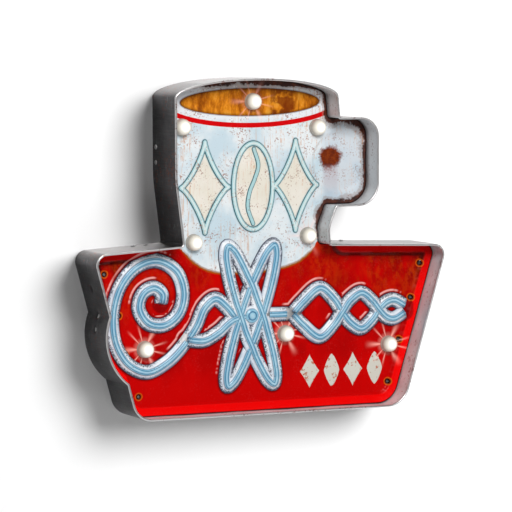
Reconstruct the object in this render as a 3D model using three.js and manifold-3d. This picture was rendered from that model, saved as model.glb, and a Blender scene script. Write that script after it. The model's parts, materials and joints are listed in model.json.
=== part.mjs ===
// Pressed-tin wall sign: a mug standing on a leaning panel, with eight small battery-fed LED globes.
//
// The sign is laid out face up on a bench: X to the right, Y up the sign, Z forward from the wall
// (0 at the wall, BAND_DEPTH at the front rim). X = 0 is the centre line of the mug. The last group
// stands it up (+Z up, face towards -Y) with its origin between the two keyholes, on the wall.
// Lengths are millimetres.
import * as THREE from "three";
import { mergeVertices } from "three/addons/utils/BufferGeometryUtils.js";
import Module from "manifold-3d";

const wasm = await Module();
wasm.setup();

// ---- Overall sizes ----
const PANEL_WIDTH = 400;
const PANEL_HEIGHT = 175;
const MUG_WIDTH = 186;
const MUG_HEIGHT = 174;
const BAND_DEPTH = 60;
const FACE_FORWARD = 32; // wall to the front of the face sheet
const SHEET = 1; // tinplate thickness
const CLEARANCE = 0.3; // between pieces that touch
const HEM_DEPTH = 3.5;
const HEM_GAP = 0.2; // inside the fold of the hem

// ---- Face sheet ----
const FLANGE_DEPTH = 8;
const BORDER_WIDTH = 9;
const BORDER_RISE = 3;
const STROKE_WIDTH = 16;
const TUBE_WIDTH = 7;
const TUBE_RISE = 4.6; // height of the tube on top of an embossed stroke
const EMBOSS_STEP = 14; // length of one straight step along a stroke
const NAIL_HOLE_RADIUS = 1.5;
const BALL_RADIUS = 11;

// ---- Lamps ----
const GLOBE_RADIUS = 9;
const GLOBE_BARREL = 3.7; // straight part behind the dome
const NECK_RADIUS = 4.5;
const NECK_LENGTH = 9;
const SOCKET_RADIUS = 7.5;
const SOCKET_DEPTH = 14;
const SOCKET_BASE = 6;
const LEAD_RADIUS = 1.1;
const LEAD_FORWARD = 19; // height of the leads above the wall
const LEAD_SLACK = 0.07; // sideways bow of a lead, as a share of its span

// ---- Battery box ----
const CELL_RADIUS = 7.25;
const CELL_LENGTH = 50.5;
const CELL_NUB = 1.3;
const CELL_NUB_RADIUS = 2.6;
const CELL_PITCH = 15;
const BOX_WALL = 2.2;
const CONTACT = 0.5;
const SPRING_LENGTH = 5;
const SPRING_RADIUS = 4;
const SPRING_WIRE = 0.4;
const SPRING_TURNS = 3;
const COVER = 1.6;
const COVER_LAP = 0.8; // cover edge held under each lip
const LIP = 1.2;
const SWITCH_BAY = 9;
const SWITCH_TRAVEL = 3;
const KNOB_LENGTH = 4;
const PAD = 0.8;
const BOX_AT = [-58, -268];

// ---- Hanger ----
const STRAP = 1.5;
const STRAP_HEIGHT = 28;
const STRAP_LEG = 16;
const HANGER_AT = [20, -30];
const KEYHOLE_SPACING = 100;
const KEYHOLE_HEAD_RADIUS = 5;
const KEYHOLE_NECK_RADIUS = 2.6;
const KEYHOLE_NECK_LENGTH = 7;

// ---- Rivets and splices ----
const RIVET_RADIUS = 1.5;
const RIVET_HEAD_RADIUS = 2.8;
const RIVET_HEAD = 1.1;
const RIVET_TAIL = 0.8;
const SPLICE_LENGTH = 26;
const SPLICE_WIDTH = 16;
const SPLICE_THICKNESS = 1.2;
const SPLICE_FORWARD = 13; // middle of a splice plate above the wall
const SPLICE_RIVET_PITCH = 14;

// ---- Artwork grids: the sizes at which the two outlines below are drawn ----
const PANEL_GRID = { width: 400, height: 175, centre: 19.4, top: -125 };
const MUG_GRID = { width: 186, height: 174, foot: -125 };

function onPanel([x, y]) {
  const across = (x - PANEL_GRID.centre) * (PANEL_WIDTH / PANEL_GRID.width);
  const down = (y - PANEL_GRID.top) * (PANEL_HEIGHT / PANEL_GRID.height);
  return new THREE.Vector2(PANEL_GRID.centre + across, PANEL_GRID.top + down);
}

function onMug([x, y]) {
  const up = (y - MUG_GRID.foot) * (MUG_HEIGHT / MUG_GRID.height);
  return new THREE.Vector2(x * (MUG_WIDTH / MUG_GRID.width), MUG_GRID.foot + up);
}

// ---- Solids ----
function solid(geometry) {
  const bare = geometry.clone();
  bare.deleteAttribute("normal");
  bare.deleteAttribute("uv");
  const joined = mergeVertices(bare, 1e-4);
  return new wasm.Manifold(new wasm.Mesh({
    numProp: 3,
    vertProperties: Float32Array.from(joined.attributes.position.array),
    triVerts: Uint32Array.from(joined.index.array),
  }));
}

function geometryOf(body) {
  const { vertProperties, triVerts } = body.getMesh();
  const geometry = new THREE.BufferGeometry();
  geometry.setAttribute("position", new THREE.BufferAttribute(vertProperties, 3));
  geometry.setIndex(new THREE.BufferAttribute(triVerts, 1));
  return geometry;
}

function plate(points, low, high) {
  const geometry = new THREE.ExtrudeGeometry(new THREE.Shape(points), {
    depth: high - low,
    bevelEnabled: false,
  });
  geometry.translate(0, 0, low);
  return solid(geometry);
}

function block([x0, x1], [y0, y1], [z0, z1]) {
  const geometry = new THREE.BoxGeometry(x1 - x0, y1 - y0, z1 - z0);
  geometry.translate((x0 + x1) / 2, (y0 + y1) / 2, (z0 + z1) / 2);
  return solid(geometry);
}

// A round bar along Z, from low to high.
function bar(centre, radius, low, high, sides = 16) {
  const geometry = new THREE.CylinderGeometry(radius, radius, high - low, sides);
  geometry.rotateX(Math.PI / 2);
  geometry.translate(centre.x, centre.y, (low + high) / 2);
  return solid(geometry);
}

// A profile of [radius, height] pairs turned about Z; the heights rise along +Z.
function turned(profile, sides) {
  const geometry = new THREE.LatheGeometry(profile.map(([r, h]) => new THREE.Vector2(r, h)), sides);
  geometry.rotateX(Math.PI / 2);
  return solid(geometry);
}

function union(bodies) {
  return bodies.reduce((sum, body) => sum.add(body));
}

// ---- Outlines ----
// Rounds each corner { at, radius, mark } of a closed outline with an arc. A mark stays on its point.
function rounded(corners) {
  const points = [];
  corners.forEach((corner, i) => {
    const before = corners[(i + corners.length - 1) % corners.length].at;
    const after = corners[(i + 1) % corners.length].at;
    if (!corner.radius) {
      const point = corner.at.clone();
      point.mark = corner.mark;
      points.push(point);
      return;
    }
    const back = before.clone().sub(corner.at).normalize();
    const on = after.clone().sub(corner.at).normalize();
    const half = Math.acos(THREE.MathUtils.clamp(back.dot(on), -1, 1)) / 2;
    const reach = corner.radius / Math.tan(half);
    const middle = corner.at.clone().addScaledVector(back.clone().add(on).normalize(), corner.radius / Math.sin(half));
    const from = corner.at.clone().addScaledVector(back, reach).sub(middle).angle();
    const to = corner.at.clone().addScaledVector(on, reach).sub(middle).angle();
    const sweep = THREE.MathUtils.euclideanModulo(to - from + Math.PI, 2 * Math.PI) - Math.PI;
    const steps = Math.max(2, Math.ceil(Math.abs(sweep) / (Math.PI / 15)));
    for (let k = 0; k <= steps; k += 1) {
      const angle = from + (sweep * k) / steps;
      points.push(new THREE.Vector2(
        middle.x + corner.radius * Math.cos(angle),
        middle.y + corner.radius * Math.sin(angle),
      ));
    }
  });
  return points;
}

// Moves every point of a clockwise closed outline inwards by the same distance.
function inset(points, distance) {
  return points.map((point, i) => {
    const before = points[(i + points.length - 1) % points.length];
    const after = points[(i + 1) % points.length];
    const a = point.clone().sub(before).normalize();
    const b = after.clone().sub(point).normalize();
    const normal = new THREE.Vector2(a.y + b.y, -a.x - b.x).normalize();
    const stretch = distance / Math.max(0.3, normal.dot(new THREE.Vector2(a.y, -a.x)));
    return point.clone().addScaledVector(normal, stretch);
  });
}

const MUG_RIM = { y: 29.5, rise: 19.5, steps: 30 };
const SCROLL_BULGE = { from: 0.222, to: 0.631, height: 12, steps: 10 };

function corner(at, radius = 0, mark = null) {
  return { at, radius, mark };
}

// The mug's elliptical top, from its left end to its right end.
function mugRim() {
  const list = [];
  for (let k = 0; k <= MUG_RIM.steps; k += 1) {
    const angle = Math.PI * (1 - k / MUG_RIM.steps);
    const x = (MUG_GRID.width / 2) * Math.cos(angle);
    list.push(corner(onMug([x, MUG_RIM.y + MUG_RIM.rise * Math.sin(angle)])));
  }
  return list;
}

// The left edge of the panel swells round the scroll of the artwork.
function scrollBulge(foot, head) {
  const a = foot.clone().lerp(head, SCROLL_BULGE.from);
  const b = foot.clone().lerp(head, SCROLL_BULGE.to);
  const chord = b.distanceTo(a);
  const radius = (chord * chord) / (8 * SCROLL_BULGE.height) + SCROLL_BULGE.height / 2;
  const half = Math.asin(chord / 2 / radius);
  const along = b.clone().sub(a).normalize();
  const outward = new THREE.Vector2(-along.y, along.x);
  const middle = a.clone().lerp(b, 0.5).addScaledVector(outward, SCROLL_BULGE.height - radius);
  const list = [];
  for (let k = 0; k <= SCROLL_BULGE.steps; k += 1) {
    const angle = half * ((2 * k) / SCROLL_BULGE.steps - 1);
    const at = middle.clone().addScaledVector(outward, radius * Math.cos(angle));
    list.push(corner(at.addScaledVector(along, radius * Math.sin(angle))));
  }
  return list;
}

const PANEL_FOOT_LEFT = onPanel([-135.5, -300.4]);
const PANEL_HEAD_LEFT = onPanel([-183.2, -127.8]);
const LEFT_JUNCTION = onMug([-84.1, -121.8]);
const RIGHT_JUNCTION = onMug([84.4, -124.6]);
const PANEL_HEAD_RIGHT = onPanel([223.6, -129]);
const SPLICE_LEFT = LEFT_JUNCTION.clone().lerp(PANEL_HEAD_LEFT, 0.3);
const SPLICE_RIGHT = RIGHT_JUNCTION.clone().lerp(PANEL_HEAD_RIGHT, 0.2);
const HANDLE_TOP = 7.4;
const HANDLE_FOOT = -86;
const HANDLE_REACH = 140.8;
const CREASE = 2.5; // bend radius where two edges meet in a hollow corner

// Front outline of the sign, clockwise, starting at the left splice of the side band.
const OUTLINE = rounded([
  corner(SPLICE_LEFT, 0, "left"),
  corner(LEFT_JUNCTION, CREASE),
  corner(onMug([-92.6, -55]), 150),
  ...mugRim(),
  corner(onMug([95.2, HANDLE_TOP]), CREASE),
  corner(onMug([108, HANDLE_TOP]), 0, "handle"),
  corner(onMug([HANDLE_REACH, HANDLE_TOP]), 21),
  corner(onMug([HANDLE_REACH, HANDLE_FOOT]), 24),
  corner(onMug([91.6, HANDLE_FOOT]), CREASE),
  corner(onMug([83, -108]), 25),
  corner(RIGHT_JUNCTION, CREASE),
  corner(SPLICE_RIGHT, 0, "right"),
  corner(PANEL_HEAD_RIGHT, 12),
  corner(onPanel([171.8, -300.4]), 26),
  corner(PANEL_FOOT_LEFT, 22),
  ...scrollBulge(PANEL_FOOT_LEFT, PANEL_HEAD_LEFT),
  corner(PANEL_HEAD_LEFT, 12),
]);

function markIndex(mark) {
  return OUTLINE.findIndex((point) => point.mark === mark);
}

// The stretch of a closed outline from one splice to the next.
function stretchOf(points, from, to) {
  const a = markIndex(from);
  const b = markIndex(to);
  return b > a ? points.slice(a, b + 1) : [...points.slice(a), ...points.slice(0, b + 1)];
}

// ---- Side band ----
// One strip of the band: a wall and the hem folded in at its front edge.
function bandStrip(from, to) {
  const leaf = (depth, low) => {
    const outer = stretchOf(OUTLINE, from, to).map((point) => point.clone());
    const inner = stretchOf(inset(OUTLINE, depth), from, to).map((point) => point.clone());
    for (const side of [outer, inner]) {
      const last = side.length - 1;
      const headStep = side[1].clone().sub(side[0]).setLength(CLEARANCE / 2);
      const tailStep = side[last - 1].clone().sub(side[last]).setLength(CLEARANCE / 2);
      side[0].add(headStep);
      side[last].add(tailStep);
    }
    return plate([...outer, ...inner.reverse()], low, BAND_DEPTH);
  };
  return leaf(SHEET, 0).add(leaf(2 * SHEET + HEM_GAP, BAND_DEPTH - HEM_DEPTH));
}

// ---- Fasteners: a place on the band wall with the direction along it and the way in ----
function seat(at, along) {
  const inward = new THREE.Vector2(along.y, -along.x);
  return { at, along, inward };
}

// Turns a body drawn with X along the wall, Y outwards and Z forward onto a seat.
function ontoSeat(body, { at, along }) {
  const angle = THREE.MathUtils.radToDeg(Math.atan2(along.y, along.x));
  return body.rotate([0, 0, angle]).translate([at.x, at.y, 0]);
}

function rivetHole(offset, forward) {
  const hole = new THREE.CylinderGeometry(RIVET_RADIUS + CLEARANCE, RIVET_RADIUS + CLEARANCE, 12, 10);
  hole.translate(offset, 0, forward);
  return solid(hole);
}

// A rivet whose head lies outside the wall and whose tail closes on a plate of the given thickness.
function rivet(offset, forward, grip) {
  const under = CLEARANCE;
  const inside = -(SHEET + CLEARANCE + grip + CLEARANCE);
  const body = turned([
    [0, inside - RIVET_TAIL],
    [RIVET_HEAD_RADIUS * 0.8, inside - RIVET_TAIL],
    [RIVET_HEAD_RADIUS * 0.8, inside],
    [RIVET_RADIUS, inside],
    [RIVET_RADIUS, under],
    [RIVET_HEAD_RADIUS, under],
    [RIVET_HEAD_RADIUS * 0.7, under + RIVET_HEAD * 0.8],
    [0, under + RIVET_HEAD],
  ], 10);
  return body.rotate([-90, 0, 0]).translate([offset, 0, forward]);
}

function splicePlate() {
  const back = -(SHEET + CLEARANCE);
  const body = block(
    [-SPLICE_LENGTH / 2, SPLICE_LENGTH / 2],
    [back - SPLICE_THICKNESS, back],
    [SPLICE_FORWARD - SPLICE_WIDTH / 2, SPLICE_FORWARD + SPLICE_WIDTH / 2],
  );
  return body.subtract(union(spliceRivetOffsets.map((x) => rivetHole(x, SPLICE_FORWARD))));
}

const spliceRivetOffsets = [-SPLICE_RIVET_PITCH / 2, SPLICE_RIVET_PITCH / 2];
const splices = [["left", LEFT_JUNCTION], ["handle", onMug([HANDLE_REACH, HANDLE_TOP])], ["right", PANEL_HEAD_RIGHT]]
  .map(([mark, towards]) => {
    const at = OUTLINE[markIndex(mark)];
    return { mark, ...seat(at, towards.clone().sub(at).normalize()) };
  });

const STRAP_RIVET_Y = 8; // above and below the strap's middle
const hangerLine = onMug([0, HANGER_AT[1]]).y;
const strapEnds = [
  seat(new THREE.Vector2(onMug([-92.6, 0]).x, hangerLine), new THREE.Vector2(0, 1)),
  seat(new THREE.Vector2(onMug([HANDLE_REACH, 0]).x, hangerLine), new THREE.Vector2(0, -1)),
];
const STRAP_RIVET_FORWARD = 9;

const bandHoles = union([
  ...splices.flatMap((s) => spliceRivetOffsets.map((x) => ontoSeat(rivetHole(x, SPLICE_FORWARD), s))),
  ...strapEnds.flatMap((s) => [-STRAP_RIVET_Y, STRAP_RIVET_Y].map((x) => ontoSeat(rivetHole(x, STRAP_RIVET_FORWARD), s))),
]);

// ---- Face sheet ----
const FACE_BACK = FACE_FORWARD - SHEET;
const FACE_EDGE = SHEET + CLEARANCE; // from the outline to the edge of the face

// Artwork strokes, as points on the panel grid: a volute at the left, a crossing pair of tall orbits
// with a ball at their middle, and a pair of strands that plait towards the right.
const PLAIT_AXIS = -199;
const PLAIT = [[52, 0], [64, 12], [84, 26], [100, 14], [110, 0], [120, -12], [133, -19], [146, -10], [154, 0],
  [163, 8], [172, 10], [186, 3]];
const ORBIT = { centre: [4, -199], long: 78, short: 12, tilts: [20, -20], points: 16 };

function plaitStrand(side) {
  return PLAIT.map(([x, rise]) => [x, PLAIT_AXIS + side * rise]);
}

function orbit(tilt) {
  const lean = THREE.MathUtils.degToRad(tilt);
  return Array.from({ length: ORBIT.points }, (_, k) => {
    const angle = (k * 2 * Math.PI) / ORBIT.points;
    const up = ORBIT.long * Math.cos(angle);
    const across = ORBIT.short * Math.sin(angle);
    return [
      ORBIT.centre[0] + up * Math.sin(lean) + across * Math.cos(lean),
      ORBIT.centre[1] + up * Math.cos(lean) - across * Math.sin(lean),
    ];
  });
}

const STROKES = [
  { points: [[-98, -183], [-97, -173], [-106, -166], [-118, -171], [-123, -186], [-113, -202], [-95, -205],
    [-79, -194], [-73, -173], [-81, -150], [-103, -138], [-126, -144], [-144, -164], [-152, -193],
    [-149, -222], [-135, -244], [-114, -253], [-92, -244], [-74, -228], [-59, -208], [-49, -188],
    [-37, -180], [-25, -188], [-14, -201]] },
  { points: [[-70, -221], [-50, -223], [-33, -215], [-17, -203], [10, PLAIT_AXIS], [36, PLAIT_AXIS], [58, PLAIT_AXIS]] },
  ...ORBIT.tilts.map((tilt) => ({ closed: true, points: orbit(tilt) })),
  { points: plaitStrand(1) },
  { points: plaitStrand(-1) },
];

const BULBS = [onMug([6, 24.5]), onMug([-74.3, -1]), onMug([80.7, -3.5]), onMug([-61.3, -120.5]),
  onMug([69.7, -117]), onPanel([-116.3, -229]), onPanel([43.7, -219.5]), onPanel([165.7, -236])];
const NAIL_HOLES = [[-160.6, -150.2], [-144.5, -193.4], [-137.2, -232.5], [-122.8, -278.1],
  [203.5, -150.6], [192.7, -187], [178.6, -231.7], [165.5, -276.3]].map(onPanel);

// A section swept along a curve that lies in the face; heights rise forward from the face.
function sweep(curve, section) {
  const shape = new THREE.Shape(section.map(([side, height]) => new THREE.Vector2(-height, side)));
  const steps = Math.max(3, Math.round(curve.getLength() / EMBOSS_STEP));
  return solid(new THREE.ExtrudeGeometry(shape, { steps, extrudePath: curve, bevelEnabled: false }));
}

// A broad foot that narrows to the tube on top.
function strokeSection(shrink, low) {
  const foot = STROKE_WIDTH / 2 - shrink;
  const crown = TUBE_WIDTH / 2 - shrink / 2;
  return [[-foot, low], [-crown, TUBE_RISE - shrink], [crown, TUBE_RISE - shrink], [foot, low]];
}

// Splits a stroke into open curves: a closed one becomes two that lap over each other.
function strokeCurves({ points, closed }) {
  const spots = points.map((spot) => onPanel(spot)).map(({ x, y }) => new THREE.Vector3(x, y, FACE_FORWARD));
  const whole = new THREE.CatmullRomCurve3(spots, Boolean(closed), "centripetal");
  if (!closed) {
    return [whole];
  }
  const lap = 0.02;
  return [[-lap, 0.5 + lap], [0.5 - lap, 1 + lap]].map(([from, to]) => {
    const picks = Array.from({ length: 15 }, (_, k) => from + ((to - from) * k) / 14);
    return new THREE.CatmullRomCurve3(picks.map((u) => whole.getPointAt(THREE.MathUtils.euclideanModulo(u, 1))));
  });
}

// The same curve, shorter at both ends.
function trimmed(curve, distance) {
  const u = distance / curve.getLength();
  const picks = Array.from({ length: 25 }, (_, k) => u + ((1 - 2 * u) * k) / 24);
  return new THREE.CatmullRomCurve3(picks.map((t) => curve.getPointAt(t)));
}

function ball(shrink, low) {
  const at = onPanel(ORBIT.centre);
  const geometry = new THREE.CylinderGeometry(BALL_RADIUS - 3 - shrink, BALL_RADIUS - shrink, TUBE_RISE - shrink - low, 16);
  geometry.rotateX(Math.PI / 2);
  geometry.translate(at.x, at.y, FACE_FORWARD + (TUBE_RISE - shrink + low) / 2);
  return solid(geometry);
}

// The raised border of the panel: a ledge along its edge with a step down to the field.
function panelBorder() {
  const ledge = (from, to) => {
    const ring = (distance) => stretchOf(inset(OUTLINE, distance), "right", "left");
    return [...ring(from), ...ring(to).reverse()];
  };
  const inner = FACE_EDGE + BORDER_WIDTH;
  const top = FACE_FORWARD + BORDER_RISE;
  return {
    add: union([
      plate(ledge(FACE_EDGE, inner), top - SHEET, top),
      plate(ledge(FACE_EDGE, FACE_EDGE + SHEET), FACE_BACK, top),
      plate(ledge(inner - SHEET, inner), FACE_BACK, top),
    ]),
    cut: plate(ledge(FACE_EDGE + SHEET, inner - SHEET), FACE_BACK - SHEET, top - SHEET),
  };
}

function facePanel() {
  const edge = inset(OUTLINE, FACE_EDGE);
  const flangeFoot = FACE_BACK - FLANGE_DEPTH;
  const flange = plate(edge, flangeFoot, FACE_FORWARD)
    .subtract(plate(inset(OUTLINE, FACE_EDGE + SHEET), flangeFoot - SHEET, FACE_BACK));
  const border = panelBorder();
  const curves = STROKES.flatMap(strokeCurves);
  const raised = union([...curves.map((curve) => sweep(curve, strokeSection(0, -SHEET / 2))), ball(0, -SHEET / 2)]);
  const hollow = union([
    ...curves.map((curve) => sweep(trimmed(curve, 1.2 * SHEET), strokeSection(SHEET, -1.5 * SHEET))),
    ball(SHEET, -1.5 * SHEET),
  ]);
  const holes = union([
    ...BULBS.map((at) => bar(at, NECK_RADIUS + CLEARANCE, FACE_BACK - SHEET, FACE_FORWARD + SHEET)),
    ...NAIL_HOLES.map((at) => bar(at, NAIL_HOLE_RADIUS, FACE_BACK - SHEET, FACE_FORWARD + SHEET, 8)),
  ]);
  const sheet = flange.subtract(border.cut).add(border.add);
  return sheet.add(raised).subtract(hollow).subtract(holes);
}

// ---- Lamps ----
function globe() {
  const seatPlane = FACE_FORWARD + CLEARANCE;
  const profile = [[0, FACE_FORWARD - NECK_LENGTH], [NECK_RADIUS, FACE_FORWARD - NECK_LENGTH],
    [NECK_RADIUS, seatPlane], [GLOBE_RADIUS, seatPlane]];
  const steps = 4;
  for (let k = 0; k <= steps; k += 1) {
    const angle = (k / steps) * (Math.PI / 2);
    const height = seatPlane + GLOBE_BARREL + GLOBE_RADIUS * Math.sin(angle);
    profile.push([k === steps ? 0 : GLOBE_RADIUS * Math.cos(angle), height]);
  }
  return turned(profile, 14);
}

function socket() {
  const top = FACE_BACK - CLEARANCE;
  const foot = top - SOCKET_DEPTH;
  const bore = NECK_RADIUS + CLEARANCE;
  return turned([[0, foot], [SOCKET_RADIUS - 1.5, foot], [SOCKET_RADIUS, foot + 1.5], [SOCKET_RADIUS, top],
    [bore, top], [bore, foot + SOCKET_BASE], [0, foot + SOCKET_BASE]], 12);
}

// A twin lead from one place to another, bowed a little to one side.
function lead(from, to, startGap, endGap) {
  const along = to.clone().sub(from).normalize();
  const side = new THREE.Vector2(-along.y, along.x);
  const start = from.clone().addScaledVector(along, startGap);
  const end = to.clone().addScaledVector(along, -endGap);
  const middle = start.clone().lerp(end, 0.5).addScaledVector(side, LEAD_SLACK * start.distanceTo(end));
  const spot = ({ x, y }) => new THREE.Vector3(x, y, LEAD_FORWARD);
  const curve = new THREE.CatmullRomCurve3([spot(start), spot(middle), spot(end)]);
  const ring = Array.from({ length: 8 }, (_, k) => {
    const angle = (k * Math.PI) / 4;
    return new THREE.Vector2(LEAD_RADIUS * Math.cos(angle), LEAD_RADIUS * Math.sin(angle));
  });
  return solid(new THREE.ExtrudeGeometry(new THREE.Shape(ring), { steps: 10, extrudePath: curve, bevelEnabled: false }));
}

// ---- Battery box, drawn round its own middle and moved to BOX_AT ----
const boxFront = FACE_BACK - CLEARANCE - PAD - CLEARANCE;
const bayFloor = boxFront - BOX_WALL;
const cellAxis = bayFloor - CLEARANCE - CELL_RADIUS;
const coverFront = cellAxis - CELL_RADIUS - CLEARANCE;
const coverBack = coverFront - COVER;
const lipFront = coverBack - CLEARANCE;
const boxBack = lipFront - LIP;
const bayHalf = CELL_PITCH / 2 + CELL_RADIUS + CLEARANCE;
const boxHalf = bayHalf + BOX_WALL;
const bayLength = CELL_LENGTH + SPRING_LENGTH + 2 * (CONTACT + CLEARANCE) + 2 * CLEARANCE;
const boxLength = bayLength + SWITCH_BAY + 3 * BOX_WALL;
const boxLeft = -boxLength / 2;
const switchLeft = boxLeft + BOX_WALL;
const bayLeft = switchLeft + SWITCH_BAY + BOX_WALL;
const bayRight = bayLeft + bayLength;
const boxRight = boxLength / 2;
const switchX = switchLeft + SWITCH_BAY / 2;
const boxPlace = onPanel(BOX_AT);
const KNOB_WIDTH = 3;
const coverHalf = bayHalf + COVER_LAP;

function inBox(body) {
  return body.translate([boxPlace.x, boxPlace.y, 0]);
}

function batteryBox() {
  const beyond = 5;
  const shell = block([boxLeft, boxRight], [-boxHalf, boxHalf], [boxBack, boxFront]);
  const bay = block([bayLeft, bayRight], [-bayHalf, bayHalf], [boxBack - beyond, bayFloor]);
  const grooveHalf = coverHalf + CLEARANCE;
  const groove = block([bayLeft, boxRight + beyond], [-grooveHalf, grooveHalf], [lipFront, coverFront + CLEARANCE]);
  const mouth = block([bayLeft, boxRight + beyond], [-bayHalf, bayHalf], [boxBack - beyond, coverFront + CLEARANCE]);
  const switchBay = block([switchLeft, switchLeft + SWITCH_BAY], [-bayHalf, bayHalf],
    [boxBack + BOX_WALL, boxFront + beyond]);
  const slotHalf = (KNOB_LENGTH + SWITCH_TRAVEL) / 2 + CLEARANCE;
  const slot = block([switchX - KNOB_WIDTH / 2 - CLEARANCE, switchX + KNOB_WIDTH / 2 + CLEARANCE],
    [-slotHalf, slotHalf], [boxBack - beyond, boxBack + BOX_WALL + beyond / 5]);
  const leadHole = solid(new THREE.CylinderGeometry(LEAD_RADIUS + CLEARANCE, LEAD_RADIUS + CLEARANCE, 3 * BOX_WALL, 10)
    .rotateZ(Math.PI / 2)
    .translate(boxLeft, LEAD_HOLE_Y, LEAD_FORWARD));
  return inBox(shell.subtract(union([bay, groove, mouth, switchBay, slot, leadHole])));
}

const LEAD_HOLE_Y = 6;

function batteryCover() {
  const ridges = [0, 1, 2, 3].map((k) => {
    const x = boxRight - 6 - 3 * k;
    return block([x - 0.6, x + 0.6], [-8, 8], [coverBack - LIP, coverBack + COVER / 2]);
  });
  const flat = block([bayLeft + CLEARANCE, boxRight], [-coverHalf, coverHalf], [coverBack, coverFront]);
  return inBox(union([flat, ...ridges]));
}

const plusWall = bayLeft + CLEARANCE + CONTACT + CLEARANCE; // where the nub of the upper cell ends
const cellRows = [CELL_PITCH / 2, -CELL_PITCH / 2];

// A cell along +X with its nub at X = 0, pointing to -X.
function cell() {
  const edge = 0.6;
  const body = turned([[0, 0], [CELL_NUB_RADIUS, 0], [CELL_NUB_RADIUS, CELL_NUB],
    [CELL_RADIUS - edge, CELL_NUB], [CELL_RADIUS, CELL_NUB + edge], [CELL_RADIUS, CELL_LENGTH - edge],
    [CELL_RADIUS - edge, CELL_LENGTH], [0, CELL_LENGTH]], 14);
  return body.rotate([0, 90, 0]);
}

// A contact spring along +X from X = 0.
function contactSpring() {
  const points = [];
  const perTurn = 10;
  for (let k = 0; k <= SPRING_TURNS * perTurn; k += 1) {
    const angle = (k / perTurn) * 2 * Math.PI;
    const share = k / (SPRING_TURNS * perTurn);
    const radius = SPRING_RADIUS * (1 - 0.3 * share);
    points.push(new THREE.Vector3(share * (SPRING_LENGTH - SPRING_WIRE), radius * Math.cos(angle), radius * Math.sin(angle)));
  }
  const wire = Array.from({ length: 5 }, (_, k) => {
    const angle = (k * 2 * Math.PI) / 5;
    return new THREE.Vector2(SPRING_WIRE * Math.cos(angle), SPRING_WIRE * Math.sin(angle));
  });
  return solid(new THREE.ExtrudeGeometry(new THREE.Shape(wire), {
    steps: SPRING_TURNS * perTurn,
    extrudePath: new THREE.CatmullRomCurve3(points),
    bevelEnabled: false,
  }));
}

const contactHalf = 5;
const springFree = -SPRING_WIRE / 4; // the first turn is sunk into its plate

function contactPlate(x0, y0, y1) {
  return block([x0, x0 + CONTACT], [y0, y1], [cellAxis - contactHalf, cellAxis + contactHalf]);
}

function plateTerminal() {
  const x0 = bayLeft + CLEARANCE;
  return inBox(contactPlate(x0, cellRows[0] - contactHalf, cellRows[0] + contactHalf));
}

function springTerminal() {
  const x0 = bayLeft + CLEARANCE;
  const coil = contactSpring().translate([x0 + CONTACT + springFree + SPRING_WIRE / 2, cellRows[1], cellAxis]);
  return inBox(contactPlate(x0, cellRows[1] - contactHalf, cellRows[1] + contactHalf).add(coil));
}

function bridgeContact() {
  const x0 = bayRight - CLEARANCE - CONTACT;
  const coil = contactSpring().rotate([0, 0, 180])
    .translate([x0 - springFree - SPRING_WIRE / 2, cellRows[0], cellAxis]);
  return inBox(contactPlate(x0, cellRows[1] - contactHalf, cellRows[0] + contactHalf).add(coil));
}

const switchFoot = boxBack + BOX_WALL + CLEARANCE;

function switchBody() {
  const half = { x: SWITCH_BAY / 2 - 2 * CLEARANCE, y: 7 };
  return inBox(block([switchX - half.x, switchX + half.x], [-half.y, half.y], [switchFoot, switchFoot + 5]));
}

function switchKnob() {
  const low = boxBack - 1.5;
  const y0 = -SWITCH_TRAVEL / 2 - KNOB_LENGTH / 2;
  const stem = block([switchX - KNOB_WIDTH / 2, switchX + KNOB_WIDTH / 2], [y0, y0 + KNOB_LENGTH],
    [low + 0.8, switchFoot - CLEARANCE]);
  const ridges = [0, 1, 2].map((k) => {
    const y = y0 + 0.7 + (k * (KNOB_LENGTH - 1.4)) / 2;
    return block([switchX - KNOB_WIDTH / 2, switchX + KNOB_WIDTH / 2], [y - 0.4, y + 0.4], [low, low + 1]);
  });
  return inBox(union([stem, ...ridges]));
}

function foamPad() {
  const top = FACE_BACK - CLEARANCE;
  return inBox(block([boxLeft + 2, boxRight - 2], [-boxHalf + 2, boxHalf - 2], [top - PAD, top]));
}

// ---- Hanger strap across the back of the mug, from its left wall to the outer wall of the handle ----
function hangerStrap() {
  const gap = SHEET + CLEARANCE;
  const left = strapEnds[0].at.x + gap;
  const right = strapEnds[1].at.x - gap;
  const rows = [hangerLine - STRAP_HEIGHT / 2, hangerLine + STRAP_HEIGHT / 2];
  const body = union([
    block([left, right], rows, [0, STRAP]),
    block([left, left + STRAP], rows, [0, STRAP_LEG]),
    block([right - STRAP, right], rows, [0, STRAP_LEG]),
  ]);
  const keyholes = [-1, 1].map((side) => {
    const at = new THREE.Vector2(HANGER_AT[0] + (side * KEYHOLE_SPACING) / 2, hangerLine - KEYHOLE_NECK_LENGTH / 2);
    const top = at.clone().add(new THREE.Vector2(0, KEYHOLE_NECK_LENGTH));
    return union([
      bar(at, KEYHOLE_HEAD_RADIUS, -STRAP, 2 * STRAP, 20),
      bar(top, KEYHOLE_NECK_RADIUS, -STRAP, 2 * STRAP, 12),
      block([at.x - KEYHOLE_NECK_RADIUS, at.x + KEYHOLE_NECK_RADIUS], [at.y, top.y], [-STRAP, 2 * STRAP]),
    ]);
  });
  const holes = strapEnds.flatMap((end) => [-STRAP_RIVET_Y, STRAP_RIVET_Y]
    .map((x) => ontoSeat(rivetHole(x, STRAP_RIVET_FORWARD), end)));
  return body.subtract(union([...keyholes, ...holes]));
}

// ---- Materials ----
function finish(color, roughness, metalness) {
  return { color, roughness, metalness };
}

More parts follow.
